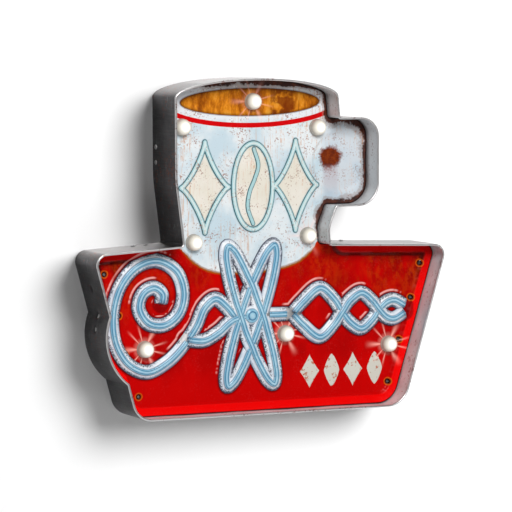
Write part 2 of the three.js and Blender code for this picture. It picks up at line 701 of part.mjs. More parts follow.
const FINISHES = {
  enamel: finish(0xc80b0b, 0.3, 0),
  band: finish(0x8d898b, 0.45, 0.7),
  globe: finish(0xf2eee6, 0.35, 0),
  socket: finish(0xd8d6d0, 0.5, 0),
  lead: finish(0xe6e4de, 0.5, 0),
  boxPlastic: finish(0x1c1c1e, 0.5, 0),
  steel: finish(0xa9abae, 0.35, 0.9),
  cellJacket: finish(0x2f5f9a, 0.4, 0.2),
  nickel: finish(0xc9c6bd, 0.3, 1),
  foam: finish(0xe9e9e4, 0.9, 0),
  knob: finish(0xe0ded8, 0.5, 0),
};

const bench = new THREE.Group();

function add(name, body, look) {
  const mesh = new THREE.Mesh(geometryOf(body), new THREE.MeshStandardMaterial(FINISHES[look]));
  mesh.name = name;
  bench.add(mesh);
}

// ---- Assembly ----
add("face_panel", facePanel(), "enamel");

const strips = [["band_mug", "left", "handle"], ["band_handle", "handle", "right"], ["band_base", "right", "left"]];
for (const [name, from, to] of strips) {
  add(name, bandStrip(from, to).subtract(bandHoles), "band");
}

for (const splice of splices) {
  add(`splice_plate_${splice.mark}`, ontoSeat(splicePlate(), splice), "steel");
  spliceRivetOffsets.forEach((x, k) => {
    add(`splice_rivet_${splice.mark}_${k + 1}`, ontoSeat(rivet(x, SPLICE_FORWARD, SPLICE_THICKNESS), splice), "steel");
  });
}

add("hanger_strap", hangerStrap(), "steel");
strapEnds.forEach((end, k) => {
  [-STRAP_RIVET_Y, STRAP_RIVET_Y].forEach((x, row) => {
    const name = `strap_rivet_${k + 1}${row + 1}`;
    add(name, ontoSeat(rivet(x, STRAP_RIVET_FORWARD, STRAP), end), "steel");
  });
});

BULBS.forEach((at, k) => {
  add(`led_globe_${k + 1}`, globe().translate([at.x, at.y, 0]), "globe");
  add(`led_socket_${k + 1}`, socket().translate([at.x, at.y, 0]), "socket");
});

// The leads run from the box through the lamps one after another.
const leadOrder = [6, 4, 2, 1, 3, 5, 7, 8];
// The first one starts clear of the box whichever way it turns.
const leadOut = LEAD_RADIUS + CLEARANCE;
const leadStart = new THREE.Vector2(boxPlace.x + boxLeft - leadOut, boxPlace.y + LEAD_HOLE_Y);
leadOrder.forEach((lamp, k) => {
  const from = k === 0 ? leadStart : BULBS[leadOrder[k - 1] - 1];
  const startGap = k === 0 ? 0 : SOCKET_RADIUS + CLEARANCE;
  add(`led_lead_${k + 1}`, lead(from, BULBS[lamp - 1], startGap, SOCKET_RADIUS + CLEARANCE), "lead");
});

add("foam_pad", foamPad(), "foam");
add("battery_box", batteryBox(), "boxPlastic");
add("battery_cover", batteryCover(), "boxPlastic");
add("plate_terminal", plateTerminal(), "nickel");
add("spring_terminal", springTerminal(), "nickel");
add("bridge_contact", bridgeContact(), "nickel");
add("battery_1", inBox(cell().translate([plusWall, cellRows[0], cellAxis])), "cellJacket");
const lowerNub = bayRight - CLEARANCE - CONTACT - CLEARANCE;
add("battery_2", inBox(cell().rotate([0, 0, 180]).translate([lowerNub, cellRows[1], cellAxis])), "cellJacket");
add("switch_body", switchBody(), "steel");
add("switch_knob", switchKnob(), "knob");

bench.rotation.x = Math.PI / 2;
bench.position.set(-HANGER_AT[0], 0, -hangerLine);

const sign = new THREE.Group();
sign.add(bench);
export default sign;
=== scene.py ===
# %% [markdown]
# # A pressed-tin wall sign with lamp globes
# The sign is a shallow tin box: a printed and embossed face sits inside a deep side band, eight frosted
# globes stand on it, and the wiring, battery box and hanger strap are behind. The frame gives every
# place and size; this lesson dresses it. Lengths below are in millimetres and MM turns them into
# metres.

import json
import math

import bpy
import bmesh
import numpy as np
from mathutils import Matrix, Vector
from mathutils.geometry import delaunay_2d_cdt

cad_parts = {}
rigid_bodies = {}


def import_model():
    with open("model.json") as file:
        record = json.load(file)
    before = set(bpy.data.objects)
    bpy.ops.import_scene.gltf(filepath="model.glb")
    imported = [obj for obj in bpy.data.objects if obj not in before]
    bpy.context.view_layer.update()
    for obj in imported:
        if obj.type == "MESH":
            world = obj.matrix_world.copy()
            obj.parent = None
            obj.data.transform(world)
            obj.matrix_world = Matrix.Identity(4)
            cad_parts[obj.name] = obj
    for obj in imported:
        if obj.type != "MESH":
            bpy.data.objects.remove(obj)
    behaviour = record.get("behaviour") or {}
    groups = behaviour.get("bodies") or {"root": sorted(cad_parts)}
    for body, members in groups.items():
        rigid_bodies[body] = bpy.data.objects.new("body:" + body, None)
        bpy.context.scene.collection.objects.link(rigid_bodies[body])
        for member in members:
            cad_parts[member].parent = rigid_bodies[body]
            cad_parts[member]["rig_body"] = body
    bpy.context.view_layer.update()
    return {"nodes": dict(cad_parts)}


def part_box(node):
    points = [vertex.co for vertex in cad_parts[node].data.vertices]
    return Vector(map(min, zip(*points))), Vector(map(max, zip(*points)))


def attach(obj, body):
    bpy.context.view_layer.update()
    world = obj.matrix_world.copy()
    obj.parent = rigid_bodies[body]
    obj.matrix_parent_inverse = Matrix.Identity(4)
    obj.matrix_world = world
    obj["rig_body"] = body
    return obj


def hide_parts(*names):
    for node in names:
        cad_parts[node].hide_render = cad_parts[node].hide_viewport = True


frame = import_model()
MM = 0.001
NODES = frame["nodes"]

# %% [markdown]
# The camera comes first. It stands far off with a long lens, turned 25 degrees to the left of the sign's
# front and hardly above it.

# %% Camera
AIM = Vector((-22.5, -60, -104.5)) * MM
CAMERA_TURN = math.radians(25)
CAMERA_RISE = math.radians(4.5)
CAMERA_DISTANCE = 3103 * MM
back = Vector((-math.sin(CAMERA_TURN) * math.cos(CAMERA_RISE),
               -math.cos(CAMERA_TURN) * math.cos(CAMERA_RISE), math.sin(CAMERA_RISE)))
camera_data = bpy.data.cameras.new("camera")
camera_data.lens = 210.9
camera_data.sensor_width = 36
camera_data.clip_end = 50
camera = bpy.data.objects.new("camera", camera_data)
bpy.context.collection.objects.link(camera)
camera.location = AIM + back * CAMERA_DISTANCE
camera.rotation_euler = (-back).to_track_quat("-Z", "Y").to_euler()
bpy.context.scene.camera = camera
bpy.context.scene.view_settings.view_transform = "Standard"
print("camera at", [round(c, 3) for c in camera.location])

# %% [markdown]
# Materials are node trees. A short helper keeps them readable: each method adds one node, links what it
# is given and hands back the output socket, so a finish can be written almost like a formula.

# %% A helper for node trees
class Nodes:
    def __init__(self, tree):
        self.tree = tree

    def add(self, kind, inputs=None, **settings):
        node = self.tree.nodes.new(kind)
        for key, value in settings.items():
            setattr(node, key, value)
        for key, value in (inputs or {}).items():
            self.feed(node.inputs[key], value)
        return node

    def feed(self, socket, value):
        if isinstance(value, bpy.types.NodeSocket):
            self.tree.links.new(value, socket)
        elif isinstance(value, (tuple, list)) and len(value) == 3 and socket.type == "RGBA":
            socket.default_value = (*value, 1)
        else:
            socket.default_value = value

    def math(self, operation, a, b=0.0, clamp=False):
        node = self.add("ShaderNodeMath", {0: a, 1: b}, operation=operation, use_clamp=clamp)
        return node.outputs[0]

    def times(self, a, b):
        return self.math("MULTIPLY", a, b)

    def plus(self, a, b):
        return self.math("ADD", a, b)

    def minus(self, a, b):
        return self.math("SUBTRACT", a, b)

    def apart(self, a, b=0.0):
        """How far two values are from each other."""
        return self.math("ABSOLUTE", self.minus(a, b))

    def mix(self, factor, a, b):
        node = self.add("ShaderNodeMix", data_type="RGBA")
        for name, value in (("Factor_Float", factor), ("A_Color", a), ("B_Color", b)):
            self.feed(next(s for s in node.inputs if s.identifier == name), value)
        return next(s for s in node.outputs if s.identifier == "Result_Color")

    def coat(self, under, over, mask, share):
        """A colour laid over another where the mask is, at no more than the share."""
        return self.mix(self.times(mask, share), under, over)

    def step(self, value, low, high):
        """0 below low, 1 above high, smooth between; low may be above high to turn it round."""
        node = self.add("ShaderNodeMapRange", {"Value": value, "From Min": low, "From Max": high},
                        interpolation_type="SMOOTHSTEP")
        return node.outputs[0]

    def ramp(self, value, stops):
        node = self.add("ShaderNodeValToRGB", {"Fac": value})
        ramp = node.color_ramp
        while len(ramp.elements) < len(stops):
            ramp.elements.new(0.5)
        for element, (place, color) in zip(ramp.elements, stops):
            element.position = place
            element.color = (*color, 1)
        return node.outputs["Color"]

    def noise(self, vector, scale, detail=4.0, rough=0.55):
        settings = {"Vector": vector, "Scale": scale, "Detail": detail, "Roughness": rough}
        return self.add("ShaderNodeTexNoise", settings).outputs["Fac"]

    def place(self, scale=(1, 1, 1), shift=(0, 0, 0)):
        """The point on the surface, in metres, stretched and moved."""
        point = self.add("ShaderNodeTexCoord").outputs["Object"]
        return self.add("ShaderNodeMapping",
                        {"Vector": point, "Scale": scale, "Location": shift}).outputs[0]

    def read(self, name, output="Fac"):
        return self.add("ShaderNodeAttribute", attribute_name=name).outputs[output]


def srgb(*rgb):
    """A colour seen on screen, 0 to 255, as the linear colour a shader wants."""
    return tuple((c / 255 / 12.92) if c <= 10 else ((c / 255 + 0.055) / 1.055) ** 2.4 for c in rgb)


def material(name, build, **shader):
    """A Principled material: build(n) gives socket names with values, shader sets plain sockets."""
    mat = bpy.data.materials.new(name)
    mat.use_nodes = True
    tree = mat.node_tree
    n = Nodes(tree)
    bsdf = tree.nodes["Principled BSDF"]
    for key, value in shader.items():
        n.feed(bsdf.inputs[key.replace("_", " ").title().replace("Ior", "IOR")], value)
    for key, value in build(n).items():
        n.feed(bsdf.inputs[key], value)
    return mat


def bumped(n, height, strength, distance=0.001):
    return n.add("ShaderNodeBump", {"Height": height, "Strength": strength,
                                    "Distance": distance}).outputs[0]


print("helpers ready")

# %% [markdown]
# Old printed tin shows the same few effects everywhere: small rust specks, long vertical drips, a
# ragged rusty edge, and the rust colour itself. Each is a node group, built once and given its own
# values by each finish that uses it.

# %% Groups for wear
def group(name, inputs, outputs, build):
    tree = bpy.data.node_groups.new(name, "ShaderNodeTree")
    for label, default in inputs.items():
        kind = "NodeSocketVector" if isinstance(default, tuple) else "NodeSocketFloat"
        tree.interface.new_socket(label, in_out="INPUT", socket_type=kind).default_value = default
    for label, kind in outputs.items():
        tree.interface.new_socket(label, in_out="OUTPUT", socket_type=kind)
    n = Nodes(tree)
    source = n.add("NodeGroupInput").outputs
    sink = n.add("NodeGroupOutput").inputs
    for label, value in build(n, source).items():
        n.feed(sink[label], value)
    return tree


def build_specks(n, i):
    point = n.add("ShaderNodeVectorMath", {0: n.place(), 1: i["Shift"]}, operation="ADD").outputs[0]
    fine = n.noise(point, i["Scale"], 3.0, 0.6)
    cluster = n.noise(point, n.times(i["Scale"], 0.09), 3.0, 0.6)
    sum_ = n.plus(fine, n.times(cluster, 0.55))
    edge = n.minus(1.12, n.times(i["Amount"], 0.35))
    return {"Mask": n.step(sum_, edge, n.plus(edge, 0.05))}


def build_drips(n, i):
    point = n.add("ShaderNodeVectorMath", {0: n.place((1, 1, 0.07)), 1: i["Shift"]},
                  operation="ADD").outputs[0]
    line = n.noise(point, i["Scale"], 5.0, 0.6)
    patch = n.noise(n.place((1, 1, 0.5)), 22.0, 3.0)
    both = n.times(n.step(line, 0.5, 0.72), n.step(patch, 0.38, 0.62))
    return {"Mask": n.times(both, i["Amount"])}


def build_ragged(n, i):
    big = n.minus(n.noise(n.place(), 60.0, 6.0, 0.65), 0.5)
    small = n.minus(n.noise(n.place(), 420.0, 4.0, 0.6), 0.5)
    push = n.plus(n.times(big, 2.2), n.times(small, 0.9))
    reach = n.times(i["Width"], n.plus(1.0, n.times(push, i["Raggedness"])))
    return {"Mask": n.step(n.math("DIVIDE", i["Distance"], n.math("MAXIMUM", reach, 0.05)), 1.15, 0.75)}


def build_rust(n, i):
    coarse = n.noise(n.place(), 130.0, 6.0, 0.7)
    fine = n.noise(n.place(), 900.0, 3.0, 0.6)
    tone = n.plus(n.times(coarse, 0.8), n.times(fine, 0.3))
    color = n.ramp(tone, [(0.36, srgb(48, 18, 10)), (0.5, srgb(92, 34, 12)), (0.62, srgb(140, 58, 14)),
                          (0.74, srgb(176, 92, 28))])
    return {"Color": color}


MASK = {"Mask": "NodeSocketFloat"}
SPECKS = group("rust specks", {"Scale": 500.0, "Amount": 0.5, "Shift": (0.0, 0.0, 0.0)}, MASK,
               build_specks)
DRIPS = group("vertical drips", {"Scale": 300.0, "Amount": 1.0, "Shift": (0.0, 0.0, 0.0)}, MASK,
              build_drips)
RAGGED = group("ragged edge", {"Distance": 0.0, "Width": 3.0, "Raggedness": 1.0}, MASK, build_ragged)
RUST = group("rust", {}, {"Color": "NodeSocketColor"}, build_rust)


def use(n, tree, output="Mask", **inputs):
    node = n.add("ShaderNodeGroup", node_tree=tree)
    for key, value in inputs.items():
        n.feed(node.inputs[key], value)
    return node.outputs[output]


print("groups:", [g.name for g in bpy.data.node_groups])

# %% [markdown]
# The sign is drawn lying face up on a bench: x to the right, y up the sign, and forward away from the
# wall. Each corner of its outline is rounded with a true arc, as the tinsmith bends the band round a
# former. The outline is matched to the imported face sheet, so the frame says where everything stands.

# %% Outline of the sign
SHEET = 1.0
BAND_DEPTH = 60.0
FACE_FORWARD = 32.0
FACE_EDGE = 1.3
BORDER = {"width": 9.0, "rise": 3.0, "slope": 2.6}


def unit(v):
    return v / max(np.linalg.norm(v), 1e-9)


def unit_rows(v):
    return v / np.linalg.norm(v, axis=1)[:, None]


def rounded(corners):
    """Closed outline from (point, bend radius) corners; a bend has a point every 4 degrees."""
    spots = [np.array(c[0], float) for c in corners]
    out = []
    for i, (_, radius) in enumerate(corners):
        at = spots[i]
        if not radius:
            out.append(at)
            continue
        to_last, to_next = unit(spots[i - 1] - at), unit(spots[(i + 1) % len(spots)] - at)
        half = math.acos(np.clip(to_last @ to_next, -1, 1)) / 2
        middle = at + unit(to_last + to_next) * radius / math.sin(half)
        ends = [at + d * radius / math.tan(half) - middle for d in (to_last, to_next)]
        a, b = (math.atan2(e[1], e[0]) for e in ends)
        sweep = (b - a + math.pi) % (2 * math.pi) - math.pi
        steps = max(3, math.ceil(abs(sweep) / math.radians(4)))
        turn = a + sweep * np.arange(steps + 1) / steps
        out += list(middle + radius * np.column_stack([np.cos(turn), np.sin(turn)]))
    return np.array(out)


def evened(line, step, closed=True):
    """The same polyline with extra points, so that no straight piece is longer than step."""
    ends = np.roll(line, -1, 0) if closed else line[1:]
    out = []
    for a, b in zip(line, ends):
        n = max(1, math.ceil(np.linalg.norm(b - a) / step))
        out += [a + (b - a) * k / n for k in range(n)]
    return np.array(out if closed else out + [line[-1]])


def inset(line, distance):
    """Every point of a clockwise closed outline moved inwards."""
    a = unit_rows(line - np.roll(line, 1, 0))
    b = unit_rows(np.roll(line, -1, 0) - line)
    normal = unit_rows(np.column_stack([(a + b)[:, 1], -(a + b)[:, 0]]))
    stretch = distance / np.maximum(0.3, (normal * np.column_stack([a[:, 1], -a[:, 0]])).sum(1))
    return line + normal * stretch[:, None]


PANEL_FOOT_LEFT, PANEL_HEAD_LEFT = np.array([-135.5, -300.4]), np.array([-183.2, -127.8])
PANEL_FOOT_RIGHT, PANEL_HEAD_RIGHT = np.array([171.8, -300.4]), np.array([223.6, -129.0])
LEFT_JUNCTION, RIGHT_JUNCTION = np.array([-84.1, -121.8]), np.array([84.4, -124.6])
SPLICE = {"left": LEFT_JUNCTION + 0.3 * (PANEL_HEAD_LEFT - LEFT_JUNCTION),
          "handle": np.array([108.0, 7.4]),
          "right": RIGHT_JUNCTION + 0.2 * (PANEL_HEAD_RIGHT - RIGHT_JUNCTION)}
MUG_RIM = {"centre": (0, 29.5), "half": (93, 19.5)}
HANDLE_TOP, HANDLE_FOOT, HANDLE_REACH = 7.4, -86.0, 140.8


def ellipse(centre, half, start=0.0, end=360.0, steps=120):
    turn = np.radians(np.linspace(start, end, steps + 1))
    return np.column_stack([centre[0] + half[0] * np.cos(turn), centre[1] + half[1] * np.sin(turn)])


def scroll_bulge(height=12.0, steps=30):
    a, b = (PANEL_FOOT_LEFT + t * (PANEL_HEAD_LEFT - PANEL_FOOT_LEFT) for t in (0.222, 0.631))
    chord = np.linalg.norm(b - a)
    radius = chord * chord / (8 * height) + height / 2
    along = unit(b - a)
    outward = np.array([-along[1], along[0]])
    middle = (a + b) / 2 + outward * (height - radius)
    turn = math.asin(chord / 2 / radius) * np.linspace(-1, 1, steps + 1)
    return middle + radius * (np.cos(turn)[:, None] * outward + np.sin(turn)[:, None] * along)


def plain(points):
    return [(p, 0) for p in points]


OUTLINE = evened(rounded([
    (SPLICE["left"], 0), (LEFT_JUNCTION, 2.5), ((-92.6, -55), 150),
    *plain(ellipse(MUG_RIM["centre"], MUG_RIM["half"], 180, 0, 90)),
    ((95.2, HANDLE_TOP), 2.5), (SPLICE["handle"], 0), ((HANDLE_REACH, HANDLE_TOP), 21),
    ((HANDLE_REACH, HANDLE_FOOT), 24), ((91.6, HANDLE_FOOT), 2.5), ((83, -108), 25),
    (RIGHT_JUNCTION, 2.5),
    (SPLICE["right"], 0), (PANEL_HEAD_RIGHT, 12), (PANEL_FOOT_RIGHT, 26), (PANEL_FOOT_LEFT, 22),
    *plain(scroll_bulge()), (PANEL_HEAD_LEFT, 12)]), 2.5)


def mark(name, line=OUTLINE):
    return int(np.argmin(np.linalg.norm(line - SPLICE[name], axis=1)))


def stretch(line, start, end):
    """The part of an outline from one splice to the next; line has OUTLINE's number of points."""
    a, b = mark(start), mark(end)
    return line[a:b + 1] if b > a else np.vstack([line[a:], line[:b + 1]])


low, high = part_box("face_panel")
EDGE = inset(OUTLINE, FACE_EDGE)
SHIFT = np.array([low.x + high.x, low.z + high.z]) / 2 / MM - (EDGE.min(0) + EDGE.max(0)) / 2
print("outline points:", len(OUTLINE), "bench origin in the row frame (mm):", SHIFT.round(2))

# %% [markdown]
# A few small tools make every mesh below: they stand bench points up against the wall, turn points and
# faces into an object that rides on a body, and measure along, across and from a path. Values that the
# finishes need, such as how far a point is from an edge, are stored on the points as named attributes.

# %% Mesh tools
MATERIALS = {}


def stand(flat, forward):
    flat = np.asarray(flat, float)
    return np.column_stack([flat[:, 0] + SHIFT[0], -np.broadcast_to(forward, len(flat)),
                            flat[:, 1] + SHIFT[1]]) * MM


def piece(name, verts, faces, finish, slot, body="root", values=None, smooth=35, nodes=(), picks=None):
    mesh = bpy.data.meshes.new(name)
    mesh.from_pydata([tuple(v) for v in verts], [], [tuple(int(i) for i in f) for f in faces])
    for key, value in (values or {}).items():
        mesh.attributes.new(key, "FLOAT",
                            "POINT").data.foreach_set("value", np.asarray(value, np.float32))
    work = bmesh.new()
    work.from_mesh(mesh)
    bmesh.ops.recalc_face_normals(work, faces=work.faces)
    work.to_mesh(mesh)
    work.free()
    mesh.shade_smooth()
    mesh.set_sharp_from_angle(angle=math.radians(smooth))
    for one in (finish if isinstance(finish, list) else [finish]):
        mesh.materials.append(one)
    if picks is not None:
        mesh.polygons.foreach_set("material_index", np.asarray(picks, np.int32))
    obj = bpy.data.objects.new(name, mesh)
    bpy.context.collection.objects.link(obj)
    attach(obj, body)
    if nodes:
        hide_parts(*nodes)
    return obj


def grid_faces(rows, columns, around=False, along=False):
    """Quads of a grid of points; around joins the last column to the first, along the last row."""
    r = np.arange(rows if along else rows - 1)[:, None]
    c = np.arange(columns if around else columns - 1)[None, :]
    r1, c1 = (r + 1) % rows, (c + 1) % columns
    return np.stack([r * columns + c, r * columns + c1, r1 * columns + c1, r1 * columns + c],
                    -1).reshape(-1, 4)


def skin(rows, columns, start=0, around=False, along=False, caps=()):
    """Faces of a grid of points that starts at a point number; caps are rows that one face closes."""
    faces = [tuple(f + start) for f in grid_faces(rows, columns, around, along)]
    return faces + [tuple(start + row * columns + k for k in range(columns)) for row in caps]


def across(path, closed=False):
    """Unit vectors to the left of a path."""
    step = np.roll(path, -1, 0) - np.roll(path, 1, 0) if closed else np.gradient(path, axis=0)
    return unit_rows(np.column_stack([-step[:, 1], step[:, 0]]))


def distance_along(path):
    return np.concatenate([[0], np.cumsum(np.linalg.norm(np.diff(path, axis=0), axis=1))])


def circle(steps):
    turn = np.arange(steps) * math.tau / steps
    return np.column_stack([np.cos(turn), np.sin(turn)])


def gap(points, line, closed=True):
    """Shortest distance from each point to a polyline."""
    ends = np.roll(line, -1, 0) if closed else line[1:]
    best = np.full(len(points), 1e9)
    for a, b in zip(line, ends):
        d = b - a
        t = np.clip((points - a) @ d / max(d @ d, 1e-12), 0, 1)
        best = np.minimum(best, ((points - a - t[:, None] * d) ** 2).sum(1))
    return np.sqrt(best)


def inside(points, line):
    x, y = points.T
    odd = np.zeros(len(points), bool)
    for a, b in zip(line, np.roll(line, -1, 0)):
        if a[1] != b[1]:
            odd ^= ((a[1] > y) != (b[1] > y)) & (x < (b[0] - a[0]) * (y - a[1]) / (b[1] - a[1]) + a[0])
    return odd


def depth(points, line):
    """Distance to a closed line, positive inside and negative outside."""
    return np.where(inside(points, line), 1, -1) * gap(points, line)


def smooth_step(x, low, high):
    t = np.clip((x - low) / (high - low), 0, 1)
    return t * t * (3 - 2 * t)


def curve_through(spots, closed=False, step=1.5):
    """A smooth centripetal curve through the spots, with a point about every step."""
    spots = [np.array(s, float) for s in spots]
    n = len(spots)
    out = []
    for i in range(n if closed else n - 1):
        p1, p2 = spots[i], spots[(i + 1) % n]
        p0 = spots[i - 1] if closed or i else 2 * p1 - p2
        p3 = spots[(i + 2) % n] if closed or i < n - 2 else 2 * p2 - p1
        t0, t1, t2 = (math.sqrt(np.linalg.norm(b - a)) for a, b in ((p0, p1), (p1, p2), (p2, p3)))
        m1 = ((p1 - p0) / t0 - (p2 - p0) / (t0 + t1)) * t1 + (p2 - p1)
        m2 = ((p3 - p2) / t2 - (p3 - p1) / (t1 + t2)) * t1 + (p2 - p1)
        u = np.linspace(0, 1, max(2, math.ceil(np.linalg.norm(p2 - p1) / step)),
                        endpoint=False)[:, None]
        out.append(p1 * (2 * u**3 - 3 * u**2 + 1) + m1 * (u**3 - 2 * u**2 + u)
                   + p2 * (3 * u**2 - 2 * u**3) + m2 * (u**3 - u**2))
    return np.vstack(out if closed else out + [spots[-1][None]])


print("mesh tools ready")

# %% [markdown]
# ## The artwork
# The face carries a flourish of raised strokes made to look like bent glass tube: a volute at the left,
# a pair of crossing orbits, and two strands that plait to the right. The mug is printed with its drink,
# a red stripe, and three outlined figures: star, bean, star. All of it is ornament, drawn here as
# smooth curves.

# %% Curves of the artwork
PLAIT_AXIS = -199.0
PLAIT = [(52, 0), (64, 12), (84, 26), (100, 14), (110, 0), (120, -12), (133, -19), (146, -10), (154, 0),
         (163, 8), (172, 10), (186, 3)]
ORBIT = {"centre": (4, PLAIT_AXIS), "long": 78, "short": 12}


def orbit(tilt, steps=16):
    lean = math.radians(tilt)
    out = []
    for k in range(steps):
        turn = k * math.tau / steps
        up, sideways = ORBIT["long"] * math.cos(turn), ORBIT["short"] * math.sin(turn)
        out.append((ORBIT["centre"][0] + up * math.sin(lean) + sideways * math.cos(lean),
                    ORBIT["centre"][1] + up * math.cos(lean) - sideways * math.sin(lean)))
    return out


STROKES = {
    "volute": (False, [(-98, -183), (-97, -173), (-106, -166), (-118, -171), (-123, -186), (-113, -202),
                       (-95, -205), (-79, -194), (-73, -173), (-81, -150), (-103, -138), (-126, -144),
                       (-144, -164), (-152, -193), (-149, -222), (-135, -244), (-114, -253),
                       (-92, -244),
                       (-74, -228), (-59, -208), (-49, -188), (-37, -180), (-25, -188), (-14, -201)]),
    "crossbar": (False, [(-70, -221), (-50, -223), (-33, -215), (-17, -203), (10, PLAIT_AXIS),
                         (36, PLAIT_AXIS), (58, PLAIT_AXIS)]),
    "orbit_right": (True, orbit(20)),
    "orbit_left": (True, orbit(-20)),
    "strand_up": (False, [(x, PLAIT_AXIS + rise) for x, rise in PLAIT]),
    "strand_down": (False, [(x, PLAIT_AXIS - rise) for x, rise in PLAIT]),
}
PATHS = {name: (closed, curve_through(spots, closed)) for name, (closed, spots) in STROKES.items()}
MUG_FOOT = curve_through([(150, -117), (84.4, -121), (77, -131), (60, -144), (33, -151.5), (-4, -153.5),
                          (-38, -152), (-58, -143), (-74, -128), (-84.1, -119), (-150, -117)])
MUG_PRINT = np.vstack([MUG_FOOT, [(-150, 90), (170, 90)]])
DRINK = ellipse((4, 24), (80, 14.5), 0, 357, 119)
STRIPE = ellipse((5, 24), (99, 24.2), 185, 355)


def star(centre, half, steps=40, bow=0.78):
    """A four-pointed star with hollow sides."""
    turn = np.arange(4 * steps) * math.tau / (4 * steps)
    c, s = np.cos(turn), np.sin(turn)
    return np.column_stack([centre[0] + half[0] * np.sign(c) * np.abs(c) ** (2 / bow),
                            centre[1] + half[1] * np.sign(s) * np.abs(s) ** (2 / bow)])


FIGURES = [star((-48, -64), (27, 47)), ellipse((7, -64), (22.5, 45), 0, 357, 119),
           star((56, -64), (25, 47))]
BEAN_GROOVE = curve_through([(8, -25), (13, -42), (9, -56), (3, -70), (1, -86), (7, -103)])
SMALL_FIGURES = [star((73, -261), (11.5, 18), bow=0.9), star((99, -261), (9, 17.5), bow=1.3),
                 star((124, -261), (11.5, 18), bow=0.9), star((150, -261), (9, 17.5), bow=1.3)]
LAMPS = [np.array([(a.x + b.x) / 2, (a.z + b.z) / 2]) / MM - SHIFT
         for a, b in (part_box(f"led_globe_{k}") for k in range(1, 9))]
NAIL_HOLES = [(-160.6, -150.2), (-144.5, -193.4), (-137.2, -232.5), (-122.8, -278.1),
              (203.5, -150.6), (192.7, -187), (178.6, -231.7), (165.5, -276.3)]
print("stroke lengths (mm):", {k: round(float(np.linalg.norm(np.diff(p, axis=0), axis=1).sum()))
                               for k, (_, p) in PATHS.items()})

# %% [markdown]
# ## Face sheet
# The real face is one blank, pressed in a die: a raised border round the panel, a shallow dish in the
# handle, raised outlines round the figures. A plain grid would cut its steps badly, so the sheet is a
# triangulation that is made to follow every line of the artwork, with finer points under the figures.

# %% Pressed face sheet
BALL_RADIUS = 11.0
SEAT = 7.2  # nearer than this to a stroke's middle the sheet is cut away, since the stroke covers it
HOLE_RADIUS = {"lamp": 4.8, "nail": 1.3}
DISH = {"at": (108, -40), "radius": 33, "drop": 1.6}


def section():
    """Half profile of a stroke as (side, height), mirrored into a whole one."""
    half = [(8.0, -0.3), (7.9, 0.5), (7.4, 1.2), (6.5, 1.75), (5.4, 2.1), (4.5, 2.3), (3.7, 2.6)]
    half += [(3.5 * math.cos(a), 2.7 + 2.0 * math.sin(a)) for a in np.radians([8, 26, 44, 62, 78])]
    return np.array(half + [(0.0, 4.7)] + [(-s, h) for s, h in half[::-1]])


def stroke_top(distance):
    """Height of a stroke's skin at a distance from its middle."""
    side, height = section()[::-1].T
    return np.interp(distance, side[side >= 0], height[side >= 0], right=0.0)


def dots(x, y, step):
    """Points on a triangular grid, nudged a little so that no four lie on one circle."""
    dice = np.random.default_rng(7)
    px, py = np.meshgrid(np.arange(*x, step), np.arange(*y, step * 0.87))
    px = px + (np.arange(px.shape[0])[:, None] % 2) * step / 2
    flat = np.column_stack([px.ravel(), py.ravel()])
    return flat + dice.normal(0, 0.02, flat.shape)


def triangulated(lines, points, holes, clear=0.45):
    """Triangles inside EDGE that follow each (closed, line); points too near a line are dropped."""
    keep = inside(points, EDGE) & (gap(points, EDGE) > 1.2)
    for closed, line in lines:
        keep &= gap(points, line, closed) > clear
    points = points[keep]
    spots, edges = [points], []
    start = len(points)
    for closed, line in [(True, EDGE), *lines, *[(True, h) for h in holes]]:
        n = len(line)
        edges += [(start + k, start + (k + 1) % n) for k in range(n if closed else n - 1)]
        spots.append(line)
        start += n
    verts, _, faces, *_ = delaunay_2d_cdt([Vector(p) for p in np.vstack(spots)], edges, [], 0, 1e-4)
    verts = np.array([tuple(v) for v in verts])
    faces = np.array([f for f in faces])
    middle = verts[faces].mean(1)
    keep = inside(middle, EDGE)
    for h in holes:
        keep &= ~inside(middle, h)
    faces = faces[keep]
    used, index = np.unique(faces, return_inverse=True)
    return verts[used], index.reshape(-1, 3)


def ring(centre, radius, steps=28):
    return ellipse(centre, (radius, radius), 0, 360 - 360 / steps, steps - 1)


def offset_lines(path, closed, offsets):
    return [(closed, path + across(path, closed) * o) for o in offsets]


def shortened(path, cut):
    """A path without its first and last few millimetres."""
    along = distance_along(path)
    return path[(along > cut) & (along < along[-1] - cut)]


PANEL_EDGE = stretch(OUTLINE, "right", "left")
ledge = [(False, stretch(inset(OUTLINE, FACE_EDGE + BORDER["width"] + t), "right", "left")[3:-3])
         for t in (0, BORDER["slope"])]
holes = [ring(p, HOLE_RADIUS["lamp"]) for p in LAMPS]
holes += [ring(p, HOLE_RADIUS["nail"], 14) for p in NAIL_HOLES]
dimples = [(True, ring(p, 3.6, 18)) for p in NAIL_HOLES]
seats = [(path if closed else shortened(path, SEAT + 0.4), closed) for closed, path in PATHS.values()]
under = [line for path, closed in seats for line in offset_lines(path, closed, (-SEAT, SEAT))]
lines = [*ledge, *dimples, *under, (False, evened(MUG_FOOT[30:-30], 2, False)), (True, DRINK),
         (False, STRIPE), *[(True, f) for f in SMALL_FIGURES]]
coarse = dots((-205, 235), (-305, 55), 2.3)
fine_zone = (coarse[:, 0] > -80) & (coarse[:, 0] < 86) & (coarse[:, 1] > -116) & (coarse[:, 1] < -12)
flat, triangles = triangulated(lines,
                               np.vstack([coarse[~fine_zone],
                                          dots((-80, 86), (-116, -12), 0.95)]), holes)

figure_depth = np.max([depth(flat, f) for f in FIGURES], axis=0)
groove_gap = gap(flat, BEAN_GROOVE, False)
panel_gap = gap(flat, PANEL_EDGE, False)
mug_depth = depth(flat, MUG_PRINT)


def ridge(distance, half, height):
    return height * np.sqrt(np.clip(1 - (distance / half) ** 2, 0, None))


